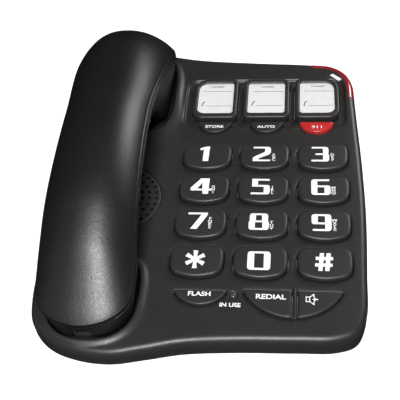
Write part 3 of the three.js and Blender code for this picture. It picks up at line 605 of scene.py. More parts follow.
def side_wall():
    """The base's side wall, pierced for its sockets and switches, with the openings' own walls."""
    top = deck_height(WALL_LOOP[:, 1]) - EDGE_FILLET
    low = SEAM_Z + 0.7
    foot_line = np.column_stack([WALL_RUN, np.full(len(WALL_RUN), low)])
    domain = np.vstack([foot_line, np.column_stack([WALL_RUN, top])[::-1]])
    holes = wall_openings()
    inner = []
    for along in np.arange(6, WALL_RUN[-1] - 1, 4.0):
        highest = deck_height(wall_place([along], [0])[0, 1]) - 5.5
        inner += [(along, z) for z in np.arange(7, 44, 3.5) if z < highest]
    inner = np.array(inner)
    for hole in holes:
        inner = inner[distance_inside(inner, hole) < -1]
    flat, faces = fill(domain, holes, points=inner)
    sheets = [(wall_place(flat[:, 0], flat[:, 1]), faces)]
    for hole in holes:
        x, y, _ = wall_place([hole[:, 0].mean()], [0])[0]
        inward = np.array([0, -1, 0]) if abs(y) > 110 else np.array([-math.copysign(1, x), 0, 0])
        rim = wall_place(hole[:, 0], hole[:, 1])
        sheets.append(loft([rim, rim + inward * WALL]))
    foot = [(low, 0), (SEAM_Z + 0.42, 0.1), (SEAM_Z + 0.3, 0.35), (SEAM_Z + 0.3, WALL)]
    sheets.append(profile_loft(BASE_OUTLINE, foot, last_cap=False))
    return joined(*sheets)


FLOOR_ROUND = 2.5  # how far a pocket's round corner reaches in over its floor


def pocket_sheet(pocket):
    """A cradle pocket from its lip down to its floor, with its ledge and corners rounded."""
    edge = pocket["levels"][-1]
    rows = [np.array(level, float) for level in pocket["levels"]]
    floor_z = rows[0][0]
    rows[-1][0] = -1.2
    rows = [rows[0] - (0, 0, FLOOR_ROUND, FLOOR_ROUND), *rows]
    floor_plan = pocket_ring(pocket, rows[0])
    for _ in range(3):
        softer = [rows[0]]
        for a, b in zip(rows, rows[1:]):
            softer += [a * 0.75 + b * 0.25, a * 0.25 + b * 0.75]
        rows = softer + [rows[-1]]
    rings = [deck_to_base(at_height(pocket_ring(pocket, row), row[0])) for row in rows]
    lip = on_cover(panel_loop(pocket_ring(pocket, edge, POCKET_LIP)))
    for share in (0.0, 0.35, 0.7, 0.92):
        plan = panel_loop(pocket_ring(pocket, edge, POCKET_LIP * (1 - math.sqrt(1 - share**2))))
        rings.append(np.column_stack([plan, lip[:, 2] - POCKET_LIP * (1 - share)]))
    rings.append(lip)
    holes = []
    if pocket is EAR_POCKET:
        holes.append(cornered(CRADLE_X - 6.3, 88.2, CRADLE_X + 6.3, 95.8, [0.6] * 4, 3))
    flat, faces = fill(floor_plan, holes)
    return joined(loft(rings), (deck_to_base(at_height(flat, floor_z)), faces))


EDGE_DROP = 0.22  # how far the cover's edge falls at each opening, over EDGE_WIDTH
EDGE_WIDTH = 0.35
GRID_STEP = 2.2


def cover_grid(loops):
    """Loose points over the cover, clear of its edge and of its openings."""
    across, along = np.arange(-97, 88, GRID_STEP), np.arange(-81, 147, GRID_STEP)
    grid = np.stack(np.meshgrid(across, along), -1).reshape(-1, 2)
    grid = grid[distance_inside(grid, BASE_OUTLINE) > EDGE_FILLET + 0.8]
    for loop in loops:
        grid = grid[distance_inside(grid, loop) < -1]
    return grid


def split_rib():
    """The raised rib between the redial key and the speaker key."""
    x = SPLIT["x"] + SPLIT["rib_x"]
    outline = cornered(x - 0.9, SPLIT["y"] - SPLIT["depth"] - 1, x + 0.9, SPLIT["y"] + 1.6, [0.85] * 4, 6)
    points, faces = profile_loft(outline, [(-1, 0), (1.5, 0.05), (2.0, 0.22), (2.25, 0.5), (2.3, 0.8)])
    return deck_to_base(points), faces


def cover_lines():
    """Closed lines along which the cover bends: its fillet, the pocket rims and the memory recess."""
    fillet_steps = [EDGE_FILLET * (1 - math.cos(math.radians(a))) for a in (8, 18, 30, 42, 54, 66, 78, 90)]
    lines = [inset(BASE_OUTLINE, step) for step in fillet_steps]
    for pocket in POCKETS:
        edge = pocket["levels"][-1]
        lines += [panel_loop(pocket_ring(pocket, edge, out)) for out in (1.3, 1.9, 2.6, 3.3, 4.1, 5, 6)]
    r = MEMORY_RECESS
    recess = cornered(r["left"], r["bottom"], r["right"], r["top"], [r["radius"]] * 4, 12)
    return lines + [panel_loop(inset(recess, step)) for step in (-0.5, -0.2, 0.1, 0.4, 0.9)]


def top_cover():
    openings = [panel_loop(o) for o in key_openings()]
    openings.append(panel_loop(circle(GRILLE["x"], GRILLE["y"], GRILLE["radius"] + 0.3, 96)))
    openings.append(panel_loop(circle(LED["x"], LED["y"], LED["radius"] + 0.3, 32)))
    pockets = [panel_loop(pocket_ring(p, p["levels"][-1], POCKET_LIP)) for p in POCKETS]
    lips = [inset(o, -EDGE_WIDTH) for o in openings]
    flat, faces = fill(BASE_OUTLINE, openings + pockets, cover_lines() + lips, cover_grid(openings + pockets))
    points = on_cover(flat)
    sheets = []
    for loop in openings:
        near = np.abs(distance_inside(flat, loop)) < 0.02
        points[near, 2] -= EDGE_DROP
        top = on_cover(loop) - (0, 0, EDGE_DROP)
        sheets.append(loft([top, top - (0, 0, 3.4)]))
    pocket_sheets = [pocket_sheet(pocket) for pocket in POCKETS]
    return joined((points, faces), *sheets, split_rib(), side_wall(), *pocket_sheets)


piece("base_shell", top_cover(), BASE_FRAME, CASE, "base", ["base_top_cover"], sharp=50)


# ---------- base: bottom cover ----------
SCREW_PLACES = [(-82, -8), (75, -54.5), (46, 121), (-22, 122)]


def bottom_cover():
    rows = [(1.9, 1.2), (1.95, 0.9), (2.15, 0.6), (2.7, 0.25), (SEAM_Z - 0.3, 0.2), (SEAM_Z, 0.4)]
    rows += [(SEAM_Z, 2.7), (6.4, 2.7)]
    wells = [circle(x, y, 3.4, 32) for x, y in SCREW_PLACES]
    grid = np.stack(np.meshgrid(np.arange(-90, 85, 12.0), np.arange(-75, 140, 12.0)), -1).reshape(-1, 2)
    grid = grid[distance_inside(grid, BASE_OUTLINE) > 6]
    flat, faces = fill(inset(BASE_OUTLINE, 1.2), wells, points=grid)
    sheets = [profile_loft(BASE_OUTLINE, rows, last_cap=False), (at_height(flat, 1.9), faces)]
    for well in wells:
        sheets.append(loft([at_height(well, 1.9), at_height(well, 4.3), at_height(inset(well, 1.6), 4.3)]))
    return joined(*sheets)


bottom = bottom_cover()
piece("bottom_shell", bottom, BASE_FRAME, CASE, "base", ["base_bottom_cover"], sharp=40)

# ---------- dialling keys ----------
# Heights and insets of a dialling key, from its skirt over its soft edge to its top.
KEY_EDGE = [
    (-3.5, 0), (-0.8, 0), (0.9, 0.05), (1.7, 0.16), (2.2, 0.36), (2.6, 0.7), (2.85, 1.15),
    (2.96, 1.7), (KEY_RISE, 2.5),
]

for i, (label, _) in enumerate(DIAL_KEYS):
    x, y = dial_place(i)
    name = "dial_key_" + label
    surface = moved(profile_loft(DIAL_OUTLINE, KEY_EDGE), x, y)
    piece("cap_" + label, surface, DECK_FRAME, KEYS, name, [name], sharp=40)

SMALL_KEY_ROUND = 1.1  # radius of a small key's upper edge


def small_key(outline):
    """A half-moon key: its top falls off in a round edge at an even distance from the outline."""
    outline = respaced(outline, 220)
    low, high = outline.min(0), outline.max(0)
    across, along = (np.arange(low[k], high[k], 0.4) for k in range(2))
    grid = np.stack(np.meshgrid(across, along), -1).reshape(-1, 2)
    flat, faces = fill(outline, points=grid[distance_inside(grid, outline) > 0.12])
    step = SMALL_KEY_ROUND - np.clip(distance_inside(flat, outline), 0, SMALL_KEY_ROUND)
    z = SMALL_KEY_RISE - SMALL_KEY_ROUND + np.sqrt(np.maximum(0, SMALL_KEY_ROUND**2 - step**2))
    skirt = loft([at_height(outline, -3.5), at_height(outline, SMALL_KEY_RISE - SMALL_KEY_ROUND)])
    return joined((np.column_stack([flat, z]), faces), skirt)


for name, outline, x, y in SMALL_KEYS:
    red = name == "key_emergency"
    surface = moved(small_key(outline), x, y)
    material, slot = (RED_KEY, "red_key") if red else (KEYS, "key_plastic")
    piece(name + "_cap", surface, DECK_FRAME, material, name, [name], sharp=40)

# ---------- memory keys: frame, card and clear window ----------
FRAME_TOP = 3.0
CARD_TOP = 1.5
CARD_MARGIN = (3, 4.2, 3, 3.4)  # left, bottom, right, top


def window_of(box, radii):
    left, bottom, right, top = box
    margin_left, margin_bottom, margin_right, margin_top = CARD_MARGIN
    return cornered(left + margin_left, bottom + margin_bottom, right - margin_right, top - margin_top, radii)


for side, (box, radii, window_radii) in MEMORY_KEYS.items():
    outline = cornered(*box, radii)
    window = window_of(box, window_radii)
    body = "memory_key_" + side
    outer = [(-3.5 - FRAME_TOP, 0), (-1.8, 0), (-0.9, 0.12), (-0.45, 0.36), (-0.15, 0.75), (-0.02, 1.2)]
    inner = [(0, 1.3), (-0.02, 0.8), (-0.15, 0.4), (-0.4, 0.12), (-0.8, 0), (-2.2, 0)]
    rings = [at_height(inset(outline, step), FRAME_TOP + z) for z, step in outer]
    rings += [at_height(inset(window, -step), FRAME_TOP + z) for z, step in inner]
    piece(body + "_frame", loft(rings), DECK_FRAME, KEYS, body, [body], sharp=50)
    card = profile_loft(inset(window, 0.15), [(CARD_TOP - 0.4, 0), (CARD_TOP, 0)])
    piece(body + "_card", card, DECK_FRAME, PAPER, body, ["memory_card_" + side], sharp=30)
    pane_edge = [(-1.2, 0), (-0.65, 0), (-0.45, 0.1), (-0.35, 0.3)]
    pane = profile_loft(inset(window, 0.2), [(FRAME_TOP + z, step) for z, step in pane_edge])
    piece(body + "_window", pane, DECK_FRAME, CLEAR, body, ["memory_lens_" + side], sharp=30)

# ---------- printing ----------
PRINT_LIFT = 0.03


def bar(x0, y0, x1, y1, radii=(0.12,) * 4):
    return cornered(x0, y0, x1, y1, radii, 5)


# Each digit is made of thick uprights and thin bars, in millimetres from its lower left corner.
DIGITS = {
    "1": [[(2.0, 0), (5.5, 0), (5.9, 11.6), (3.3, 11.6), (0, 10.3), (0, 8.7), (2.2, 9.1)]],
    "2": [bar(0.2, 10.1, 8, 11.4), bar(7.3, 6.2, 10.8, 11.4, (0.3, 0.8, 1.8, 0.1)),
          bar(0, 0, 3.5, 3.4, (0.1, 0.1, 0.1, 1.2)),
          [(10.5, 6.6), (7.6, 7.6), (0.9, 3.6), (0.6, 2.7), (3.4, 2.2), (10.0, 5.4)], bar(0, 0, 10.5, 1.3)],
    "3": [bar(0.2, 10.1, 8.5, 11.4), bar(2.4, 5.1, 8.2, 6.3), bar(0, 0, 8.5, 1.3),
          bar(6.9, 5.6, 10.2, 11.4, (0.1, 1.2, 1.8, 0.1)), bar(6.9, 0, 10.5, 5.9, (0.1, 1.8, 1.2, 0.1))],
    "4": [[(7.3, 0), (10.7, 0), (10.9, 11.6), (6.4, 11.6)],
          [(5.8, 11.6), (8.8, 11.6), (3.8, 3.7), (0, 3.7), (0, 4.6)],
          bar(0, 2.5, 12.4, 3.9)],
    "5": [bar(0.6, 10.1, 10.8, 11.4), bar(0.6, 5.6, 4.0, 11.4), bar(0.6, 5.6, 8.4, 6.9), bar(0, 0, 8.4, 1.3),
          bar(7.5, 0, 11.0, 6.9, (0.1, 1.8, 1.5, 0.1))],
    "6": [bar(0, 0, 3.5, 11.4, (1.8, 0.1, 0.1, 1.8)), bar(2, 10.1, 10.4, 11.4), bar(3, 5.6, 8.4, 6.9),
          bar(2, 0, 9, 1.3),
          bar(7.5, 0, 11.0, 6.9, (0.1, 1.8, 1.5, 0.1))],
    "7": [bar(0, 10.1, 11.3, 11.4), [(11.3, 11.3), (7.6, 11.3), (7.4, 9.6), (1.8, 0), (5.6, 0), (11.2, 9.6)]],
    "8": [bar(0.5, 5.4, 4.0, 11.3, (1.1, 0.1, 0.1, 1.7)), bar(7.4, 5.4, 10.9, 11.3, (0.1, 1.1, 1.7, 0.1)),
          bar(0, 0, 3.6, 6.1, (1.7, 0.1, 0.1, 1.2)), bar(7.7, 0, 11.4, 6.1, (0.1, 1.7, 1.2, 0.1)),
          bar(2.2, 10.1, 9.2, 11.3), bar(2.2, 5.2, 9.2, 6.4), bar(1.8, 0, 9.6, 1.3)],
    "0": [bar(0, 0, 3.7, 11.8, (1.8, 0.1, 0.1, 1.8)), bar(8.9, 0, 12.5, 11.8, (0.1, 1.8, 1.8, 0.1)),
          bar(2, 10.5, 10.6, 11.8), bar(2, 0, 10.6, 1.3)],
}
DIGITS["9"] = [[(11.0 - x, 11.4 - y) for x, y in part] for part in DIGITS["6"]]


def spoke(degrees):
    """One arm of the star, wider at its end."""
    a = math.radians(degrees)
    along, across = np.array([math.cos(a), math.sin(a)]), np.array([-math.sin(a), math.cos(a)])
    return [tuple(along * r + across * w) for r, w in ((0, -0.75), (5.7, -1.3), (5.7, 1.3), (0, 0.75))]


DIGITS["star"] = [[(x + 5.7, y + 5.4) for x, y in spoke(d)] for d in range(30, 390, 60)]
DIGITS["hash"] = [
    [(1.6, 0), (3.9, 0), (4.9, 11.2), (2.6, 11.2)], [(5.2, 0), (7.5, 0), (8.5, 11.2), (6.2, 11.2)],
    bar(0, 2.7, 9.2, 4.7), bar(0.4, 6.8, 9.6, 8.8),
]


def ink(name, outlines, x, y, z, body, material=WHITE_INK):
    """Flat printing on the deck, its middle at a place."""
    outlines = [np.array(o, float) for o in outlines]
    flat, faces = union(outlines)
    low, high = np.vstack(outlines).min(0), np.vstack(outlines).max(0)
    flat = flat - (low + high) / 2 + (x, y)
    return piece(name, (at_height(flat, z), faces), DECK_FRAME, material, body, sharp=60)


def letter_outlines(name, text, bold, stacked):
    """Flat capitals of any size, as points and faces."""
    curve = bpy.data.curves.new(name, "FONT")
    curve.body = "\n".join(text) if stacked else text
    curve.align_x = "CENTER" if stacked else "LEFT"
    curve.space_line = 0.8
    curve.offset = bold
    maker = bpy.data.objects.new(name + "_curve", curve)
    bpy.context.scene.collection.objects.link(maker)
    bpy.context.view_layer.update()
    mesh = bpy.data.meshes.new_from_object(maker.evaluated_get(bpy.context.evaluated_depsgraph_get()))
    points = np.array([v.co[:2] for v in mesh.vertices])
    faces = [tuple(f.vertices) for f in mesh.polygons]
    bpy.data.objects.remove(maker)
    bpy.data.meshes.remove(mesh)
    return points, faces


def lettering(name, text, height, place, body, material=WHITE_INK, wide=1.0, bold=0.02, stacked=False):
    """Small printed capitals, their middle at a place; stacked letters stand above each other."""
    points, faces = letter_outlines(name, text, bold, stacked)
    x, y, z = place
    low, high = points.min(0), points.max(0)
    points = (points - (low + high) / 2) * height / (high - low)[1] * (wide, 1) + (x, y)
    return piece(name, (at_height(points, z), faces), DECK_FRAME, material, body, sharp=60)


LETTER_PITCH = 1.95
DIGIT_SHIFT = (-1.6, 1.3)  # a digit leaves room for the letters at its right
BOTTOM_ROW_SHIFT = (-0.6, 0.5)
for i, (label, letters) in enumerate(DIAL_KEYS):
    x, y = dial_place(i)
    shift_x, shift_y = BOTTOM_ROW_SHIFT if i > 8 else DIGIT_SHIFT
    z = KEY_RISE + PRINT_LIFT
    body = "dial_key_" + label
    ink("digit_" + label, DIGITS[label], x + shift_x, y + shift_y, z, body)
    if letters:
        height = LETTER_PITCH * len(letters)
        place = (x + 5.6, y + shift_y - 5.3 + height / 2, z)
        lettering("letters_" + label, letters, height, place, body, stacked=True, wide=1.25)

SMALL_PRINT_Z = SMALL_KEY_RISE + PRINT_LIFT
# Each label's name, text, height, x, y, z, body, widening and thickening.
LABELS = [
    ("label_flash", "FLASH", 2.7, -31.6, -47.4, SMALL_PRINT_Z, "key_flash", 1.25, 0.025),
    ("label_redial", "REDIAL", 2.9, 6.5, -48.0, SMALL_PRINT_Z, "key_redial", 1.25, 0.025),
    ("label_in_use", "IN USE", 2.5, -14.9, -52.6, PRINT_LIFT, "base", 1.15, 0.025),
    ("label_store", "STORE", 2.2, -32.6, 72.8, SMALL_PRINT_Z, "key_store", 1.35, 0.03),
    ("label_auto", "AUTO", 2.2, 0.1, 72.6, SMALL_PRINT_Z, "key_auto", 1.35, 0.03),
    ("label_emergency", "911", 2.3, 31.6, 72.2, SMALL_PRINT_Z + 0.05, "key_emergency", 1.5, 0.0),
]
for name, text, height, x, y, z, body, wide, bold in LABELS:
    lettering(name, text, height, (x, y, z), body, wide=wide, bold=bold)

speaker_sign = [
    bar(0, 2, 0.5, 5.2), bar(0, 2, 2, 2.5), bar(0, 4.7, 2, 5.2), bar(1.8, 2, 2.3, 5.2),
    [(2, 2.1), (2, 2.6), (4.3, 0.9), (4.3, 0.2)], [(2, 5.1), (2, 4.6), (4.3, 6.3), (4.3, 7.0)],
    bar(4.0, 0.3, 4.5, 2.4), bar(4.0, 4.8, 4.5, 6.9), bar(3.6, 3.3, 6.4, 3.9), bar(4.4, 2.6, 5.0, 4.6),
]
ink("label_speaker", speaker_sign, 27.8, -48.9, SMALL_PRINT_Z, "key_speaker")

SIGN_POINTS = [
    (0, 0.4), (0.6, 0), (1.0, 0.5), (0.9, 1.3), (1.5, 3.2),
    (2.1, 3.7), (2.3, 4.3), (1.7, 4.6), (0.9, 4.0), (0.2, 2.0),
]
handset_sign = catmull_rom(SIGN_POINTS, steps=5)
for side, (box, _, _) in MEMORY_KEYS.items():
    body = "memory_key_" + side
    left, bottom, right, top = box
    z = CARD_TOP + PRINT_LIFT
    lines = [bar(left + 5, top - 10.7, right - 5, top - 10.3, [0.05] * 4),
             bar(left + 8, bottom + 11.3, right - 5, bottom + 11.7, [0.05] * 4)]
    ink(body + "_lines", lines, (left + right) / 2 + 0.8, (top + bottom) / 2 + 0.4, z, body, GREY_INK)
    ink(body + "_sign", [handset_sign], left + 6.6, bottom + 13.2, z, body, GREY_INK)
    heading_place = ((left + right) / 2 + 0.6, top - 6.3, z)
    lettering(body + "_heading", "NAME", 1.3, heading_place, body, GREY_INK, wide=1.8, bold=0.03)

# ---------- ringer light, in-use light ----------
def ringer_lens():
    """The red crescent that takes the place of the rear right corner's edge."""
    corner = np.where(is_inside(BASE_OUTLINE, panel_loop(RINGER_WEDGE)))[0]
    rows = []
    for angle in np.radians([-70, -40, -12, 0, 12, 25, 38, 52, 66, 80, 90]):
        step = EDGE_FILLET * (1 - math.cos(max(angle, 0)))
        drop = EDGE_FILLET * (1 - math.sin(angle)) if angle >= 0 else EDGE_FILLET - angle * 1.2
        rows.append((step, drop))
    rows += [(RINGER_BAND - 0.3, 0.0), (RINGER_BAND, 0.25)]
    rings = []
    for step, drop in rows:
        plan = inset(BASE_OUTLINE, step - RINGER_STAND)[corner]
        rings.append(np.column_stack([plan, deck_height(plan[:, 1]) - drop + RINGER_STAND]))
    count = len(corner)
    faces = []
    for low in range(0, (len(rings) - 1) * count, count):
        faces += [(low + j, low + j + 1, low + count + j + 1, low + count + j) for j in range(count - 1)]
    faces.append(tuple(i * count for i in range(len(rings))))
    faces.append(tuple(i * count + count - 1 for i in range(len(rings))))
    return np.vstack(rings), faces


piece("ringer_lens", ringer_lens(), BASE_FRAME, RED_LENS, "base", ["ringer_light_lens"], sharp=40)
mark = [(0, 1.6), (5.6, -3.6), (7.4, -2.0), (1.8, 3.2)]
ink("ringer_mark", [mark], 44.6, 118.0, 0.12, "base")

dome = [(LED["radius"], -1), (LED["radius"], 0), (LED["radius"] * 0.93, 0.45), (LED["radius"] * 0.74, 0.95),
        (LED["radius"] * 0.45, 1.28), (LED["radius"] * 0.15, 1.4)]
led_dome = turned(dome, LED["x"], LED["y"], 32)
piece("led_dome", led_dome, DECK_FRAME, LED_CLEAR, "base", ["in_use_light"])


# ---------- loudspeaker grille ----------
def grille():
    x, y, radius = GRILLE["x"], GRILLE["y"], GRILLE["radius"]
    holes = []
    for ring in range(5):
        r = 20 - 4.3 * ring
        count = max(1, round(2 * math.pi * r / 4.4))
        holes += [circle(x + r * math.cos(a), y + r * math.sin(a), 1.0, 12)
                  for a in np.linspace(0, 2 * math.pi, count, endpoint=False)]
    flat, faces = fill(circle(x, y, radius - 0.8, 96), holes)
    sheets = [(at_height(flat, -0.3), faces)]
    rim = circle(x, y, radius, 96)
    sheets.append(loft([at_height(rim, -1.9), at_height(rim, -0.7), at_height(inset(rim, 0.3), -0.4),
                        at_height(inset(rim, 0.8), -0.3)]))
    sheets += [loft([at_height(h, -0.3), at_height(h, -1.9)]) for h in holes]
    return joined(*sheets)


piece("grille", grille(), DECK_FRAME, GRILLE_BLACK, "base", ["speaker_grille"], sharp=40)


# ---------- switches on the right wall ----------
def slide_knob(x, y):
    """A small ribbed knob, with its carriage behind the wall."""
    low, high = SWITCH_Z - 1.35, SWITCH_Z + 1.35
    chamfer, back = 0.25, x - 2.6
    rings = []
    for t in np.arange(25) / 24:
        ridge = 0.22 * abs(math.sin(5 * math.pi * t)) if 0.05 < t < 0.95 else 0
        along, front = y - 2.2 + 4.4 * t, x + 1.05 + ridge
        section = [(back, low), (front - chamfer, low), (front, low + chamfer)]
        section += [(front, high - chamfer), (front - chamfer, high), (back, high)]
        rings.append(np.array([(out, along, z) for out, z in section]))
    return loft(rings, True, True)


for name, x, y in (("ringer_switch", 87.3, 52), ("volume_slider", 86.1, 78)):
    piece(name + "_knob", slide_knob(x, y), BASE_FRAME, KEYS, name, [name], sharp=30)

# ---------- handset ----------
HANDSET_START = -75.6
HANDSET_END = 140.5
SEAM_GAP = 0.4
SEAM_POINTS = [
    (-76, 13.4), (-56, 15.6), (-38, 22.4), (-14, 32), (12, 37.2),
    (42, 38.6), (72, 35.8), (100, 27.4), (120, 17.4), (141, 9),
]
SEAM_LINE = catmull_rom(SEAM_POINTS, closed=False)
seam_height = lambda y: float(np.interp(y, SEAM_LINE[:, 0], SEAM_LINE[:, 1]))
lerp = lambda a, b, t: a + (b - a) * t


def smoothstep(value, start, end):
    t = min(1.0, max(0.0, (value - start) / (end - start)))
    return t * t * (3 - 2 * t)


def tip_round(distance, length, power):
    return math.sqrt(max(0.0, 1 - (1 - min(1, distance / length)) ** power))


def half_width(y):
    mouth_to_grip = lerp(26.4, 24.8, smoothstep(y, -50, 30))
    full = lerp(mouth_to_grip, 29.8, smoothstep(y, 45, 115))
    return full * tip_round(y - HANDSET_START, 22, 2.2) * tip_round(HANDSET_END - y, 24, 2.5)


def crown_height(y):
    """How far the back's crown stands over its upright edge, along its middle."""
    full = lerp(12.6, 22, smoothstep(y, 60, 122))
    mouth_slope = 1 - (1 - min(1, (y - HANDSET_START) / 45)) ** 2
    ear_slope = 1 - (1 - min(1, (HANDSET_END - y) / 29)) ** 2.6
    return full * mouth_slope * ear_slope


def underside_height(y):
    grip = lerp(-7.0, 21.5, smoothstep(y, -40, -12))
    face = lerp(grip, -10.6, smoothstep(y, 62, 92))
    tip = min(1, max(0, 1 - (HANDSET_END - y) / 13, 1 - (y - HANDSET_START) / 9))
    return lerp(face, seam_height(y), 0.85 * (1 - math.sqrt(1 - tip**2)))


def stations(count, margin=0.03):
    """Places along the handset, close together at its tips."""
    share = 0.5 - 0.5 * np.cos(math.pi * np.linspace(0, 1, count))
    return HANDSET_START + margin + (HANDSET_END - HANDSET_START - 2 * margin) * share


BACK_LAND = 2.6  # upright edge of the back shell, over the seam
BACK_EDGE = 0.7  # radius where that edge meets the crown


def back_section(y):
    """The back shell at one station: a chamfered foot, an upright land, a small round and the crown."""
    a, seam, crown = max(0.3, half_width(y)), seam_height(y), crown_height(y)
    foot, edge = min(0.35, a / 3), min(BACK_EDGE, a / 3)
    rise = lambda u: crown * (1 - abs(u) ** 2.2) ** 0.85
    half = [(a - foot, seam), (a, seam + foot), (a, seam + 0.5 * BACK_LAND)]
    start = 1 - edge / a
    for degrees in range(0, 91, 15):
        angle = math.radians(degrees)
        low, high = seam + BACK_LAND - edge, seam + BACK_LAND + rise(start)
        share = 1 - math.cos(angle)
        half.append((a - edge * share, low + (high - low) * math.sin(angle)))
    for angle in np.linspace(math.acos(start), math.pi / 2, 26)[1:]:
        u = math.cos(angle)
        half.append((a * u, seam + BACK_LAND + rise(u)))
    return half + [(-x, z) for x, z in reversed(half[:-1])]


def face_section(y):
    """The face shell at one station: drafted walls, a rounded underside and a tongue up inside the seam."""
    a = max(0.3, half_width(y))
    top = seam_height(y) - SEAM_GAP
    bottom = min(underside_height(y), top - 0.4)
    depth = top - bottom
    draft = min(lerp(3.2, 5.2, smoothstep(y, 20, 90)), a * 0.16) * smoothstep(depth, 0, 26)
    corner = min(6, depth * 0.45)
    half = max(a - draft - corner, a * 0.3)
    right = [(half * t, bottom) for t in (0, 0.35, 0.7)]
    for degrees in range(0, 91, 10):
        angle = math.radians(degrees)
        right.append((half + (a - draft - half) * math.sin(angle), bottom + corner * (1 - math.cos(angle))))
    for t in (0.2, 0.4, 0.6, 0.8, 0.93):
        right.append((lerp(a - draft, a, t), lerp(bottom + corner, top, t)))
    tongue = a - min(1.2, a * 0.3)
    right += [(a, top - 0.12), (a - 0.15, top), (tongue, top), (tongue, top + 0.8)]
    return right + [(-x, z) for x, z in reversed(right[1:])]


def along_handset(places, section):
    """A surface along the handset through sections at places, in the deck frame."""
    rings = [np.array([(CRADLE_X + x, y, z) for x, z in section(y)]) for y in places]
    return loft(rings, True, True)


CORD_PLUG = (10.6, 9.1)  # the clear opening of the handset's socket
HANDSET_JACK_Z = 5


def handset_holes():
    """Cutters for the sound holes, the screw wells and the cord socket's opening."""
    wells = [(CRADLE_X, y, 21.5, 3.2, 3.4) for y in (16, 40)]
    wells += [(CRADLE_X + i * 4.5, -49, -7, 1.2, 3) for i in (-1, 0, 1)]
    for i in range(7):
        angle, ring = math.pi * i / 3, 5.5 if i else 0
        wells.append((CRADLE_X + ring * math.cos(angle), 110 + ring * math.sin(angle), -10.6, 1.2, 3))
    cutters = []
    for x, y, z, r, depth in wells:
        ring = circle(x, y, r, 24)
        cutters.append(loft([at_height(ring, z - 2), at_height(ring, z + depth)], True, True))
    wide, high = CORD_PLUG
    low, left, right = HANDSET_JACK_Z - high / 2, CRADLE_X - wide / 2, CRADLE_X + wide / 2
    mouth = cornered(left, HANDSET_START - 5, right, HANDSET_START + 14, [0.2] * 4, 2)
    cutters.append(loft([at_height(mouth, low), at_height(mouth, low + high)], True, True))
    return joined(*cutters)


def scratch_object(name, surface):
    mesh = bpy.data.meshes.new(name)
    mesh.from_pydata([tuple(p) for p in surface[0]], [], [tuple(map(int, f)) for f in surface[1]])
    work = bmesh.new()
    work.from_mesh(mesh)
    bmesh.ops.remove_doubles(work, verts=work.verts, dist=0.004)
    bmesh.ops.recalc_face_normals(work, faces=work.faces)
    work.to_mesh(mesh)
    work.free()
    obj = bpy.data.objects.new(name, mesh)
    bpy.context.scene.collection.objects.link(obj)
    return obj


def cut(surface, cutters):
    """A surface with cutters taken out of it, in millimetres."""
    whole, tool = scratch_object("whole", surface), scratch_object("tool", cutters)
    boolean = whole.modifiers.new("cut", "BOOLEAN")
    boolean.object = tool
    boolean.solver = "EXACT"
    bpy.context.view_layer.update()
    made = bpy.data.meshes.new_from_object(whole.evaluated_get(bpy.context.evaluated_depsgraph_get()))
    result = np.array([v.co[:] for v in made.vertices]), [tuple(f.vertices) for f in made.polygons]
    for obj in (whole, tool):
        mesh = obj.data
        bpy.data.objects.remove(obj)
        bpy.data.meshes.remove(mesh)
    bpy.data.meshes.remove(made)
    return result


def handset_face():
    return cut(along_handset(stations(160), face_section), handset_holes())


handset_pieces = [
    ("handset_back", along_handset(stations(170), back_section), "handset_back_shell", 40),
    ("handset_face", handset_face(), "handset_face_shell", 50),
]
for name, surface, node, sharp in handset_pieces:
    piece(name, surface, DECK_FRAME, HANDSET, "handset", [node], sharp=sharp)

# ---------- CAD nodes that stay ----------
METAL = ["loudspeaker_frame", "receiver_capsule", "microphone_capsule", "handset_weight"]
METAL += ["handset_screw_1", "handset_screw_2", *[f"base_screw_{i}" for i in range(1, 5)]]
FEET = [f"rubber_foot_{end}_{side}" for end in ("front", "rear") for side in ("left", "right")]
KEPT = [
    (BOARD, ["keypad_board", "main_board"]),
    (SILICONE, ["keypad_mat"]),
    (STEEL, METAL),
    (RUBBER, [*FEET, "loudspeaker_cone"]),
    (KEYS, ["hook_plunger", "line_jack", "base_handset_jack", "handset_jack"]),
]
for material, names in KEPT:
    for name in names:
        node = frame["nodes"][name]
        node.data.materials.clear()
        node.data.materials.append(material)

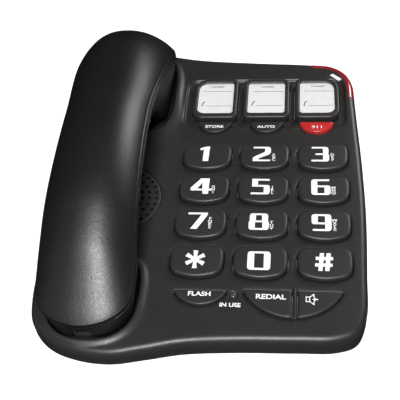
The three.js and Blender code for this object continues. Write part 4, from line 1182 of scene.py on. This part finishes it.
# ---------- floor, lights and camera ----------
def floor():
    n = Nodes("floor_white")
    shade = n.mix(n.span(n.noise(3, 2), 0, 1), (0.5, 0.5, 0.5, 1), (0.53, 0.53, 0.53, 1))
    material = n.finish(shade, 0.9, None, Emission_Color=(1, 1, 1, 1), Emission_Strength=0.75)
    mesh = bpy.data.meshes.new("floor")
    work = bmesh.new()
    bmesh.ops.create_grid(work, x_segments=8, y_segments=8, size=6)
    work.to_mesh(mesh)
    work.free()
    mesh.materials.append(material)
    obj = bpy.data.objects.new("floor", mesh)
    bpy.context.scene.collection.objects.link(obj)
    obj.visible_glossy = False


def area_light(name, place, target, size, size_y, power):
    data = bpy.data.lights.new(name, "AREA")
    data.shape = "RECTANGLE"
    data.size = size
    data.size_y = size_y
    data.energy = power
    obj = bpy.data.objects.new(name, data)
    obj.location = place
    obj.rotation_euler = (Vector(target) - Vector(place)).to_track_quat("-Z", "Y").to_euler()
    bpy.context.scene.collection.objects.link(obj)


floor()
area_light("key_softbox", (0.04, -0.78, 0.98), (0, 0, 0), 0.28, 0.26, 19)
area_light("left_fill", (-1.3, -0.7, 0.9), (0, 0, 0.02), 0.8, 0.8, 1)
area_light("rear_softbox", (0.85, 0.85, 0.95), (0, 0, 0.02), 0.5, 0.5, 11)


def sky():
    """A studio room: grey above, dark below."""
    world = bpy.data.worlds.new("studio")
    world.use_nodes = True
    tree = world.node_tree
    place = tree.nodes.new("ShaderNodeTexCoord")
    split = tree.nodes.new("ShaderNodeSeparateXYZ")
    ramp = tree.nodes.new("ShaderNodeMapRange")
    tree.links.new(place.outputs["Generated"], split.inputs[0])
    tree.links.new(split.outputs["Z"], ramp.inputs["Value"])
    ramp.inputs["From Min"].default_value = -0.1
    ramp.inputs["From Max"].default_value = 0.35
    ramp.inputs["To Min"].default_value = 0.05
    ramp.inputs["To Max"].default_value = 0.3
    tree.links.new(ramp.outputs["Result"], tree.nodes["Background"].inputs["Strength"])
    bpy.context.scene.world = world


sky()

CAMERA_PLACE = (46.6, -275.4, 315.4)  # in the base frame
CAMERA_TURN = (45.704, 4.792, 5.837)
camera_data = bpy.data.cameras.new("camera")
camera_data.sensor_width = 36
camera_data.lens = 63
camera = bpy.data.objects.new("camera", camera_data)
camera.location = BASE_FRAME @ Vector(CAMERA_PLACE)
camera.rotation_euler = Euler([math.radians(a) for a in CAMERA_TURN])
bpy.context.scene.collection.objects.link(camera)
bpy.context.scene.camera = camera
bpy.context.scene.view_settings.view_transform = "Standard"
